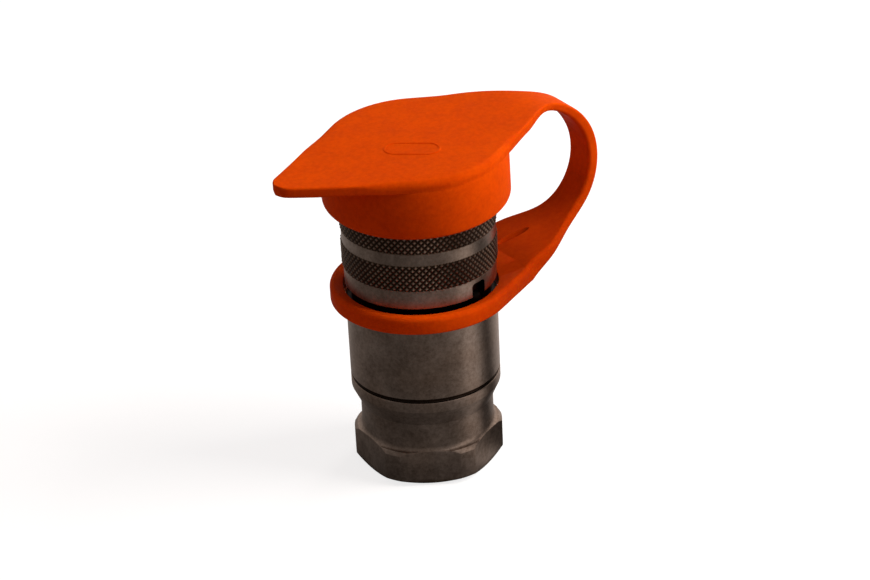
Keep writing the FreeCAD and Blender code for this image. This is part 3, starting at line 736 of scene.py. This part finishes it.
def rear_adapter():
    turns = hex_angles()
    columns = [adapter_outside(a) for a in turns]
    rings = [
        [lathe_point(r, a + HEX_TURN, z) for a, (r, z) in zip(turns, row)]
        for row in zip(*columns)
    ]
    for radius, height in adapter_inside():
        rings.append([lathe_point(radius, a + HEX_TURN, height) for a in turns])
    steps = int(THREAD_TOP / THREAD_PITCH * THREAD_STEPS)
    for i in range(steps, -1, -1):
        height = THREAD_TOP * i / steps
        rings.append([lathe_point(thread_radius(a, height), a + HEX_TURN, height) for a in turns])
    bm = rings_to_mesh(rings, closed=True)
    bmesh.ops.remove_doubles(bm, verts=bm.verts, dist=ADAPTER_MERGE * MM)
    adapter = new_object("adapter_body", bm, PLATED)
    bevel(adapter, ADAPTER_EDGE * MM, angle=20.0)
    smooth(adapter, angle=40.0)
    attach(adapter, "body")
    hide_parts("rear_adapter")


# Coil springs, drawn as round wire

# Joint that presses each spring, then its mean radius, wire, number of coils, bottom and top
SPRINGS = {
    "sleeve_spring": ("sleeve_pull", 16.225, 1.6, 4.5, 53.0, 66.0),
    "valve_spring": ("valve_push", 9.55, 1.2, 5.5, 44.0, 66.0),
    "retainer_spring": ("retainer_push", 11.75, 1.2, 4.0, 44.0, 62.55),
}
SPRING_GRIND = 0.25
SPRING_STEPS = 48
SPRING_SIDES = 16


def coil_spring(node, joint, radius, wire, coils, bottom, top):
    """Round wire wound up the axis, ground flat at both ends; the joint argument is not used."""
    ground = wire * SPRING_GRIND
    start = bottom + wire / 2 - ground
    length = top - bottom - wire + 2 * ground
    slope = math.atan2(length / coils, 2 * math.pi * radius)
    steps = int(coils * SPRING_STEPS)
    rings = []
    for i in range(steps + 1):
        angle = 2 * math.pi * coils * i / steps
        height = start + length * i / steps
        outward = Vector((math.cos(angle), math.sin(angle), 0.0))
        around = Vector((-math.sin(angle), math.cos(angle), 0.0))
        upward = Vector((0.0, 0.0, math.cos(slope))) - around * math.sin(slope)
        middle = outward * radius + Vector((0.0, 0.0, height))
        ring = []
        for k in range(SPRING_SIDES):
            turn = 2 * math.pi * k / SPRING_SIDES
            point = middle + (outward * math.cos(turn) + upward * math.sin(turn)) * (wire / 2)
            point.z = min(max(point.z, bottom), top)
            ring.append(point * MM)
        rings.append(ring)
    mesh = rings_to_mesh(rings, closed=False)
    spring = new_object(node + "_coil", mesh, SPRING, smooth_angle=50.0)
    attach(spring, "body")
    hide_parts(node)
    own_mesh(spring)


# Dust cap: one soft moulding, from the tab through the strap to the ring

CAP_TOP = 86.35
PLATE_THICKNESS = 2.7
SKIRT_HEIGHT = 12.1
SKIRT_RADIUS = 22.7
SKIRT_BORE = 19.7
PLATE_RADIUS = 21.9
CAP_TILT = math.radians(4.6)
CAP_TILT_DIRECTION = math.radians(58.0)
TAB_REACH = 38.0
TAB_TIP_RADIUS = 4.0
TAB_CURL = 0.5
TAB_CURL_START = 24.0
PLATE_END = 26.0
PLATE_END_HALF_WIDTH = 10.6
RING_BOTTOM = 44.9
RING_THICKNESS = 4.4
RING_RADIUS = 22.3
RING_BORE = 19.04
RING_TOP_SLOPE = 0.28
RING_FOOT_FALL = 1.1
TAIL_REACH = 24.0
TAIL_HALF_WIDTH = 12.6
TAIL_OVERLAP = 1.2
TAIL_INSET = 0.02
STRAP_TANGENT_STEP = 0.05

# Middle line of the strap (x, y, z), its half width and its thickness, from the plate to the tail
STRAP_ROUTE = [
    (34.5, -0.7, 86.2, 5.1, 2.1),
    (42.9, -0.4, 82.6, 4.0, 2.5),
    (48.3, -0.3, 75.7, 4.1, 2.9),
    (49.7, -0.1, 67.0, 4.2, 2.9),
    (46.9, 0.3, 58.8, 4.5, 2.8),
    (40.2, 0.2, 53.3, 6.0, 2.5),
    (32.1, 0.1, 50.2, 10.2, 3.1),
]
TAIL_SLOPE = math.radians(20.0)
TAIL_RISE = TAIL_OVERLAP * math.tan(TAIL_SLOPE)

# Edge radii of the sections as (outer side, inner side): on the disc, on the tab and the strap,
# and at the ring
DISC_ROUNDS = (1.7, 0.05)
STRAP_ROUNDS = (0.55, 0.8)
RING_ROUNDS = (0.6, 1.2)
RING_BORE_ROUND = 0.05

# Largest edge radii as shares of a section: of its half width, and outer and inner of its thickness
ROUND_OF_HALF_WIDTH = 0.95
ROUNDS_OF_THICKNESS = (0.65, 0.33)

# Shares of the plate's radius between which the disc's edge radii give way to the strap's
ROUNDS_FADE = (0.72, 1.12)

# Overlap of the skirt with the plate, the roundings and the draft of its walls, and how far its
# outside stands proud of the plate's and then tapers into it
SKIRT_OVERLAP = 0.8
SKIRT_INNER_LIP = 0.5
SKIRT_OUTER_LIP = 0.9
SKIRT_DRAFT_HEIGHT = 3.0
SKIRT_DRAFT = 0.15
SKIRT_PROUD = 0.02
SKIRT_TAPER = 0.3

# Steps of the meshes: angles round the tab's tip, stations along the plate and the strap, points
# of the edges and the flats of a section, turns and edges of the skirt and the ring, and the mark
TIP_ANGLES = (4, 10, 18, 27, 36, 46, 57, 69, 80)
PLATE_STEPS = 74
PLATE_FIRST_STEP = 0.7
STRAP_STEPS = 96
CREASE_STEPS = 12
EDGE_STEPS = (6, 5)
FLAT_STEPS = 14
SKIRT_STEPS = 192
SKIRT_LIP_STEPS = (4, 6)
RING_STEPS = 256
RING_EDGE_STEPS = (4, 7)
RING_BORE_STEPS = 3
MARK_STEPS = 12

# Crease in the strap's inner face beside the ring, and the plain oval rib on the cap
CREASE_START = 0.855
CREASE_END = 0.985
CREASE_ACROSS = (0.8, 2.0)
CREASE_HALF_WIDTH = 1.1
CREASE_DEPTH = 2.2
CREASE_TIP = 0.15
MARK_CENTRE = (-3.1, -4.1)
MARK_TURN = math.radians(-38.0)
MARK_LENGTH = 13.0
MARK_WIDTH = 5.4
MARK_LINE = 0.9
MARK_RISE = 0.16
MARK_ROOT = 0.3


def cap_tilt():
    """The cap leans about a level line through the middle of its grip on the sleeve."""
    grip_foot = CAP_TOP - PLATE_THICKNESS - SKIRT_HEIGHT
    rise = Vector((math.cos(CAP_TILT_DIRECTION), math.sin(CAP_TILT_DIRECTION), 0.0))
    turn = Matrix.Rotation(CAP_TILT, 4, rise.cross(Vector((0.0, 0.0, 1.0))))
    pivot = Matrix.Translation(Vector((0.0, 0.0, (grip_foot + SLEEVE_FRONT) / 2)))
    return pivot @ turn @ pivot.inverted()


def tangent_turn(radius, reach, half_width):
    """Angle on a disc at which a straight side leaves it for a given end."""
    return math.atan2(half_width, reach) + math.acos(radius / math.hypot(reach, half_width))


def plate_half_width(s):
    """Half width of the plate along the strap's line: tab tip, disc and taper to the strap."""
    centre = TAB_TIP_RADIUS - TAB_REACH
    lean = math.acos((PLATE_RADIUS - TAB_TIP_RADIUS) / -centre)
    tip_end = centre - TAB_TIP_RADIUS * math.cos(lean)
    disc_start = -PLATE_RADIUS * math.cos(lean)
    touch = tangent_turn(PLATE_RADIUS, PLATE_END, PLATE_END_HALF_WIDTH)
    disc_end = PLATE_RADIUS * math.cos(touch)
    if s < tip_end:
        return math.sqrt(max(0.0, TAB_TIP_RADIUS ** 2 - (s - centre) ** 2))
    if s < disc_start:
        share = (s - tip_end) / (disc_start - tip_end)
        narrow = TAB_TIP_RADIUS * math.sin(lean)
        return narrow + (PLATE_RADIUS * math.sin(lean) - narrow) * share
    if s < disc_end:
        return math.sqrt(PLATE_RADIUS ** 2 - s ** 2)
    share = (s - disc_end) / (PLATE_END - disc_end)
    wide = PLATE_RADIUS * math.sin(touch)
    return wide + (PLATE_END_HALF_WIDTH - wide) * share


def plate_rounds(s):
    """Edge radii along the plate: large on top of the disc, as on the strap at both ends."""
    start, end = ROUNDS_FADE
    share = min(1.0, max(0.0, (abs(s) / PLATE_RADIUS - start) / (end - start)))
    share = share * share * (3 - 2 * share)
    return tuple(a + (b - a) * share for a, b in zip(DISC_ROUNDS, STRAP_ROUNDS))


def band_section(half_width, thickness, rounds):
    """Closed outline (across, up) of a flat section with rounded edges and a fixed count of points.

    Near the tab's tip and on a thin section the edge radii are cut down to fit.
    """
    half = thickness / 2
    top, under = [
        min(radius, half_width * ROUND_OF_HALF_WIDTH, thickness * share)
        for radius, share in zip(rounds, ROUNDS_OF_THICKNESS)
    ]
    right = arc_points((half_width - top, half - top), top, 90, 0, EDGE_STEPS[0])
    right += arc_points((half_width - under, under - half), under, 0, -90, EDGE_STEPS[1])
    left = [(-w, up) for w, up in reversed(right)]
    lower_flat = between(right[-1], left[0], FLAT_STEPS)
    upper_flat = between(left[-1], right[0], FLAT_STEPS)
    return right + lower_flat + left + upper_flat


def between(first, last, count):
    """Evenly spaced points strictly between two points."""
    return [
        tuple(a + (b - a) * i / (count + 1) for a, b in zip(first, last))
        for i in range(1, count + 1)
    ]


def head_stations():
    """Places along the plate: at set angles round the tab's tip, then evenly spaced."""
    tip = [-TAB_REACH + TAB_TIP_RADIUS * (1 - math.cos(math.radians(a))) for a in TIP_ANGLES]
    first = tip[-1] + PLATE_FIRST_STEP
    return tip + [first + (PLATE_END - first) * i / PLATE_STEPS for i in range(PLATE_STEPS + 1)]


class Strap:
    """The strap's middle line, half width and thickness as smooth functions of its length."""

    def __init__(self):
        tilt = cap_tilt()
        start = tilt @ Vector((PLATE_END, 0.0, CAP_TOP - PLATE_THICKNESS / 2))
        out = tilt.to_3x3() @ Vector((1.0, 0.0, 0.0))
        end = Vector((TAIL_REACH, 0.0, RING_BOTTOM + (RING_THICKNESS + TAIL_RISE) / 2))
        points = [start] + [Vector(row[:3]) for row in STRAP_ROUTE] + [end]
        knots = [0.0]
        for before, after in zip(points, points[1:]):
            knots.append(knots[-1] + (after - before).length)
        self.length = knots[-1]
        self.side = tilt.to_3x3() @ Vector((0.0, 1.0, 0.0))
        inward = (-math.cos(TAIL_SLOPE), 0.0, -math.sin(TAIL_SLOPE))
        self.route = cubic_through(knots, [tuple(p) for p in points], tuple(out), inward)
        touch = tangent_turn(PLATE_RADIUS, PLATE_END, PLATE_END_HALF_WIDTH)
        tail = tangent_turn(RING_RADIUS, TAIL_REACH, TAIL_HALF_WIDTH)
        self.tail_spread = 1 / math.tan(tail)
        tail_half_width = TAIL_HALF_WIDTH - TAIL_INSET
        widths = [PLATE_END_HALF_WIDTH] + [row[3] for row in STRAP_ROUTE] + [tail_half_width]
        self.half_width = cubic_through(knots, widths, -1 / math.tan(touch), self.tail_spread)
        tail_depth = (RING_THICKNESS + TAIL_RISE - 2 * TAIL_INSET) * math.cos(TAIL_SLOPE)
        deep = [PLATE_THICKNESS] + [row[4] for row in STRAP_ROUTE] + [tail_depth]
        self.thickness = cubic_through(knots, deep, 0.0, 0.0)

    def axes(self, k):
        """Middle point at a length, with the directions along, across and outward there."""
        here = Vector(self.route(k))
        ahead = Vector(self.route(min(self.length, k + STRAP_TANGENT_STEP)))
        back = Vector(self.route(max(0.0, k - STRAP_TANGENT_STEP)))
        along = (ahead - back).normalized()
        share = k / self.length
        level = self.side * (1 - share) + Vector((0.0, 1.0, 0.0)) * share
        across = (level - along * level.dot(along)).normalized()
        return here, along, across, along.cross(across)

    def rounds(self, k):
        share = k / self.length
        return tuple(a + (b - a) * share for a, b in zip(STRAP_ROUNDS, RING_ROUNDS))


def moulded_band(strap):
    """Plate, tab and strap as one skin of rounded sections that ends inside the ring's tail."""
    tilt = cap_tilt()
    mid = CAP_TOP - PLATE_THICKNESS / 2
    rings = []
    for s in head_stations():
        lift = TAB_CURL * (max(0.0, -s - TAB_CURL_START) / (TAB_REACH - TAB_CURL_START)) ** 2
        section = band_section(plate_half_width(s), PLATE_THICKNESS, plate_rounds(s))
        rings.append([(tilt @ Vector((s, w, mid + lift + up))) * MM for w, up in section])
    for i in range(1, STRAP_STEPS + 1):
        k = strap.length * i / STRAP_STEPS
        here, along, across, upward = strap.axes(k)
        section = band_section(float(strap.half_width(k)), float(strap.thickness(k)), strap.rounds(k))
        rings.append([(here + across * w + upward * up) * MM for w, up in section])
    half_width = TAIL_HALF_WIDTH - TAIL_INSET + TAIL_OVERLAP * strap.tail_spread
    section = band_section(half_width, RING_THICKNESS - 2 * TAIL_INSET, RING_ROUNDS)
    middle = Vector((TAIL_REACH - TAIL_OVERLAP, 0.0, RING_BOTTOM + RING_THICKNESS / 2))
    rings.append([(middle + across * w + Vector((0.0, 0.0, -up))) * MM for w, up in section])
    return new_object("moulded_band", rings_to_mesh(rings, closed=False), ORANGE)


def crease_cutter(strap):
    """Thin tapering blade along the strap's inner face."""
    rings = []
    for i in range(CREASE_STEPS + 1):
        share = i / CREASE_STEPS
        k = strap.length * (CREASE_START + (CREASE_END - CREASE_START) * share)
        here, along, across, upward = strap.axes(k)
        middle = here + across * (CREASE_ACROSS[0] + (CREASE_ACROSS[1] - CREASE_ACROSS[0]) * share)
        middle -= upward * float(strap.thickness(k)) / 2
        swell = CREASE_TIP + (1 - CREASE_TIP) * math.sin(math.pi * share) ** 0.5
        wide = across * CREASE_HALF_WIDTH * swell
        deep = upward * CREASE_DEPTH * swell
        rings.append([(middle + p) * MM for p in (wide, deep, -wide, -deep)])
    return new_object("crease_cutter", rings_to_mesh(rings, closed=False), ORANGE)


def mark_rib():
    """Plain oval rib, hardly raised, on the cap's top."""
    tilt = cap_tilt()
    end = MARK_WIDTH / 2
    straight = MARK_LENGTH / 2 - end
    path = []
    for shift, start in ((straight, -90), (-straight, 90)):
        arc = arc_points((0.0, 0.0), end, start, start + 180, MARK_STEPS)
        path += [(x + shift, y, x, y) for x, y in arc]
    foot = MARK_LINE / 2
    crest = foot / 2
    section = [(-foot, -MARK_ROOT), (foot, -MARK_ROOT), (crest, MARK_RISE), (-crest, MARK_RISE)]
    turn = Matrix.Rotation(MARK_TURN, 4, "Z")
    place = Matrix.Translation(Vector((*MARK_CENTRE, CAP_TOP)))
    rings = []
    for x, y, out_x, out_y in path:
        out = Vector((out_x, out_y, 0.0)).normalized()
        points = [Vector((x, y, 0.0)) + out * o + Vector((0.0, 0.0, z)) for o, z in section]
        rings.append([(tilt @ place @ turn @ p) * MM for p in points])
    return new_object("mark_rib", rings_to_mesh(rings, closed=True), ORANGE)


def cap_skirt():
    """Skirt with rounded lips, which leans with the cap and overlaps its plate."""
    under = CAP_TOP - PLATE_THICKNESS
    bottom = under - SKIRT_HEIGHT
    top = under + SKIRT_OVERLAP
    inner, outer = SKIRT_LIP_STEPS
    lip = SKIRT_INNER_LIP
    section = [(SKIRT_BORE, top)]
    section += arc_points((SKIRT_BORE + lip, bottom + lip), lip, 180, 270, inner)
    lip = SKIRT_OUTER_LIP
    section += arc_points((SKIRT_RADIUS - lip, bottom + lip), lip, 270, 360, outer)
    section.append((SKIRT_RADIUS - SKIRT_DRAFT, under - SKIRT_DRAFT_HEIGHT))
    section += [(PLATE_RADIUS + SKIRT_PROUD, under), (PLATE_RADIUS - SKIRT_TAPER, top)]
    rings = [[lathe_point(r, a, z) for a in full_turn(SKIRT_STEPS)] for r, z in section]
    skirt = new_object("cap_skirt", rings_to_mesh(rings, closed=True), ORANGE)
    skirt.data.transform(Matrix.Scale(MM, 4) @ cap_tilt() @ Matrix.Scale(1 / MM, 4))
    return skirt


def cap_ring():
    """Ring round the barrel, dished towards its bore, with its outside drawn out into the tail."""
    top = RING_BOTTOM + RING_THICKNESS
    low, high = RING_ROUNDS
    touch = tangent_turn(RING_RADIUS, TAIL_REACH, TAIL_HALF_WIDTH)

    def reach(angle):
        """Outer radius at an angle: the ring, or the straight taper and end of the tail."""
        turn = abs((angle + math.pi) % (2 * math.pi) - math.pi)
        if turn > touch:
            return RING_RADIUS
        side = RING_RADIUS / math.cos(touch - turn)
        end = TAIL_REACH / math.cos(turn)
        return min(side, end)

    section = arc_points((-low, RING_BOTTOM + low), low, -90, 0, RING_EDGE_STEPS[0])
    section += arc_points((-high, top - high), high, 0, 90, RING_EDGE_STEPS[1])
    lip = RING_BORE_ROUND
    foot = RING_BOTTOM - RING_FOOT_FALL + lip
    upper_lip = arc_points((lip, -lip), lip, 90, 180, RING_BORE_STEPS)
    lower_lip = arc_points((lip, foot), lip, 180, 270, RING_BORE_STEPS)
    turns = full_turn(RING_STEPS)
    rings = [[lathe_point(reach(a) + r, a, z) for a in turns] for r, z in section]
    bore_top = [top - RING_TOP_SLOPE * (reach(a) - high - RING_BORE) for a in turns]
    rings += [
        [lathe_point(RING_BORE + r, a, z + edge) for a, edge in zip(turns, bore_top)]
        for r, z in upper_lip
    ]
    rings += [[lathe_point(RING_BORE + r, a, z) for a in turns] for r, z in lower_lip]
    return new_object("cap_ring", rings_to_mesh(rings, closed=True), ORANGE)


def dust_cap():
    """The parts of the cap joined into one skin, which is shaded smooth only once it is whole."""
    strap = Strap()
    cap = moulded_band(strap)
    boolean(cap, cap_skirt(), "UNION")
    boolean(cap, cap_ring(), "UNION")
    boolean(cap, crease_cutter(strap), "DIFFERENCE")
    boolean(cap, mark_rib(), "UNION")
    cap.name = "dust_cap_moulding"
    smooth(cap, angle=35.0)
    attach(cap, "cap")
    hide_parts("dust_cap")


# Finishes

PLATED = metal(
    "plated_steel", (0.2, 0.155, 0.125), (0.46, 0.385, 0.335), (0.3, 0.4),
    painted_shade=adapter_painted_shade, lathe=0.6,
)
KNURLED = metal(
    "knurled_steel", (0.22, 0.175, 0.145), (0.48, 0.405, 0.355), (0.3, 0.4),
    turning=0.15, painted_shade=knurl_painted_shade, lathe=0.4,
)
VALVE = metal(
    "valve_steel", (0.34, 0.31, 0.28), (0.56, 0.53, 0.49), (0.22, 0.32), stains=0.2, lathe=0.4
)
SPRING = metal("spring_steel", (0.25, 0.24, 0.23), (0.42, 0.41, 0.4), (0.25, 0.35), turning=0.0)
BALL = metal(
    "ball_steel", (0.4, 0.39, 0.38), (0.6, 0.59, 0.58), (0.12, 0.2), turning=0.0, stains=0.1
)
# Painted shade: the lock ball is nearly black, for the shade in the notch where it sits
BLACK_BALL_SHADE = metal(
    "lock_ball_black_shade", (0.004, 0.0035, 0.003), (0.012, 0.01, 0.009), (0.45, 0.55), turning=0.0
)
ORANGE = soft_plastic("orange_plastic", (0.8, 0.078, 0.0008), (0.68, 0.058, 0.0006))
NITRILE = rubber("nitrile_rubber", (0.012, 0.012, 0.012), (0.03, 0.03, 0.03), 0.45)
BACKUP = rubber("backup_ring_plastic", (0.72, 0.7, 0.64), (0.82, 0.8, 0.76), 0.4)


# Solids that stay as the CAD made them, by material
SOLIDS = [
    (PLATED, ["front_body"]),
    (VALVE, ["ball_retainer", "valve_sleeve", "valve_stem", "stem_spider", "stem_nut"]),
    (SPRING, ["sleeve_stop_ring", "spider_retaining_ring"]),
    (NITRILE, ["stem_seal", "nipple_seal", "valve_seal", "body_seal"]),
    (BACKUP, ["nipple_backup_ring", "valve_backup_ring"]),
    (BLACK_BALL_SHADE, ["sleeve_lock_ball"]),
    (BALL, [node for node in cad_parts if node.startswith("locking_ball")]),
]


def finish_solids():
    for material, nodes in SOLIDS:
        for node in nodes:
            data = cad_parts[node].data
            data.materials.clear()
            data.materials.append(material)


# Stage: pale floor, white surround and soft lamps

FLOOR_SIZE = 6.0
WHITE = (1.0, 1.0, 1.0, 1.0)
AMBIENT = (1.0, 0.66, 0.56, 1.0)
AMBIENT_STRENGTH = 0.16
BENCH = (0.34, 0.21, 0.165, 1.0)
FLOOR_COLOUR = (0.4, 0.4, 0.4, 1.0)
FLOOR_GLOW = 0.78

# Warm grey cards round the coupler, which only reflections see, as direction in degrees from the
# camera's side to the right, and brightness
CARDS = [
    (-180.0, 0.5), (-155.0, 0.4), (-125.0, 0.26), (-95.0, 0.18), (-50.0, 0.13), (-20.0, 0.15),
    (0.0, 0.19), (30.0, 0.22), (50.0, 0.34), (60.0, 0.7), (75.0, 0.7), (88.0, 0.16), (104.0, 0.06),
    (120.0, 0.45), (150.0, 0.9), (180.0, 0.5),
]
CARD_COLOUR = (1.0, 0.87, 0.8)

# Shade of the cards on the floor near the coupler, by distance in millimetres, and in the sky, by
# the upward part of the direction
CARD_FOOT = (24.0, 75.0)
CARD_FOOT_SHADE = 0.5
CARD_SKY = (0.1, 0.5)
CARD_SKY_SHADE = 1.3

# Lamps round the coupler: direction as for the cards, elevation, distance, size, power, colour
LAMPS = {
    "key": (85.0, 35.0, 0.95, (0.6, 0.8), 11.0, (1.0, 0.97, 0.94)),
    "rim": (147.0, 20.0, 1.0, (0.25, 0.6), 2.4, (0.97, 0.98, 1.0)),
    "top": (10.0, 80.0, 1.0, (0.8, 0.8), 0.6, (1.0, 1.0, 1.0)),
    "fill": (-110.0, 15.0, 1.2, (0.3, 0.9), 1.3, (1.0, 0.9, 0.85)),
}
LAMP_TARGET = Vector((0.0, 0.0, 0.05))


def card_light(nodes, direction):
    """Brightness of the cards in a direction from the axis."""
    towards = (math.cos(CAMERA_AZIMUTH), math.sin(CAMERA_AZIMUTH), 0.0)
    right = (-math.sin(CAMERA_AZIMUTH), math.cos(CAMERA_AZIMUTH), 0.0)
    ahead = nodes.add("ShaderNodeVectorMath", {0: direction, 1: towards}, operation="DOT_PRODUCT")
    aside = nodes.add("ShaderNodeVectorMath", {0: direction, 1: right}, operation="DOT_PRODUCT")
    turn = nodes.maths("ARCTAN2", aside.outputs["Value"], ahead.outputs["Value"])
    share = nodes.maths("ADD", nodes.maths("MULTIPLY", turn, 0.5 / math.pi), 0.5)
    stops = [
        (azimuth / 360 + 0.5, tuple(level * c for c in CARD_COLOUR)) for azimuth, level in CARDS
    ]
    return nodes.ramp(share, stops)


def make_world():
    """White for the camera, a dim warm room for the light, and the cards for reflections."""
    world = bpy.data.worlds.new("studio")
    bpy.context.scene.world = world
    world.use_nodes = True
    nodes = Nodes(world.node_tree)
    path = nodes.add("ShaderNodeLightPath")
    direction = nodes.add("ShaderNodeTexCoord").outputs["Generated"]
    split = nodes.add("ShaderNodeSeparateXYZ", {"Vector": direction})
    up = step_mask(nodes, split.outputs["Z"], *CARD_SKY)
    shade = nodes.ramp(up, [(0.0, CLEAN), (1.0, (CARD_SKY_SHADE,) * 3)])
    cards = nodes.mix(1.0, card_light(nodes, direction), shade, "MULTIPLY")
    light = nodes.add("ShaderNodeBackground", {"Color": AMBIENT, "Strength": AMBIENT_STRENGTH})
    mirrored = nodes.add("ShaderNodeBackground", {"Color": cards, "Strength": 1.0})
    white = nodes.add("ShaderNodeBackground", {"Color": WHITE, "Strength": 1.0})
    lit = nodes.add("ShaderNodeMixShader", {
        0: path.outputs["Is Glossy Ray"], 1: light.outputs[0], 2: mirrored.outputs[0],
    })
    shown = nodes.add("ShaderNodeMixShader", {
        0: path.outputs["Is Camera Ray"], 1: lit.outputs[0], 2: white.outputs[0],
    })
    nodes.add("ShaderNodeOutputWorld", {"Surface": shown.outputs[0]})


def make_floor():
    """Pale floor to the eye; bounced light sees a brown bench, and reflections see the cards."""
    material, nodes = new_material("floor")
    path = nodes.add("ShaderNodeLightPath")
    place = nodes.add("ShaderNodeTexCoord").outputs["Object"]
    radius, _ = radius_of(nodes, place)
    clear = step_mask(nodes, radius, CARD_FOOT[0] * MM, CARD_FOOT[1] * MM)
    shade = nodes.ramp(clear, [(0.0, (CARD_FOOT_SHADE,) * 3), (1.0, CLEAN)])
    laid = nodes.mix(1.0, card_light(nodes, place), shade, "MULTIPLY")
    bench = nodes.add("ShaderNodeBsdfDiffuse", {"Color": BENCH})
    cards = nodes.add("ShaderNodeEmission", {"Color": laid, "Strength": 1.0})
    pale = nodes.add("ShaderNodeBsdfDiffuse", {"Color": FLOOR_COLOUR})
    glow = nodes.add("ShaderNodeEmission", {"Color": WHITE, "Strength": FLOOR_GLOW})
    seen = nodes.add("ShaderNodeAddShader", {0: pale.outputs[0], 1: glow.outputs[0]})
    lit = nodes.add("ShaderNodeMixShader", {
        0: path.outputs["Is Glossy Ray"], 1: bench.outputs[0], 2: cards.outputs[0],
    })
    shown = nodes.add("ShaderNodeMixShader", {
        0: path.outputs["Is Camera Ray"], 1: lit.outputs[0], 2: seen.outputs[0],
    })
    finish_material(nodes, shown)
    bm = bmesh.new()
    bmesh.ops.create_grid(bm, x_segments=1, y_segments=1, size=FLOOR_SIZE / 2)
    floor = new_object("floor", bm, material)


def make_lamps():
    """Area lamps aimed at the coupler, left out of reflections, where the cards stand for them."""
    for name, (azimuth, elevation, distance, size, power, colour) in LAMPS.items():
        data = bpy.data.lights.new(name, "AREA")
        data.shape = "RECTANGLE"
        data.size, data.size_y = size
        data.energy = power
        data.color = colour
        turn = CAMERA_AZIMUTH + math.radians(azimuth)
        lift = math.radians(elevation)
        away = Vector((
            math.cos(turn) * math.cos(lift), math.sin(turn) * math.cos(lift), math.sin(lift)
        ))
        lamp = bpy.data.objects.new(name, data)
        lamp.location = LAMP_TARGET + away * distance
        lamp.rotation_euler = away.to_track_quat("Z", "Y").to_euler()
        lamp.visible_glossy = False
        bpy.context.collection.objects.link(lamp)


make_camera()
make_world()
make_floor()
make_lamps()
finish_solids()
locking_sleeve()
rear_adapter()
for spring_node, sizes in SPRINGS.items():
    coil_spring(spring_node, *sizes)
dust_cap()

bpy.context.scene.view_settings.view_transform = "Standard"
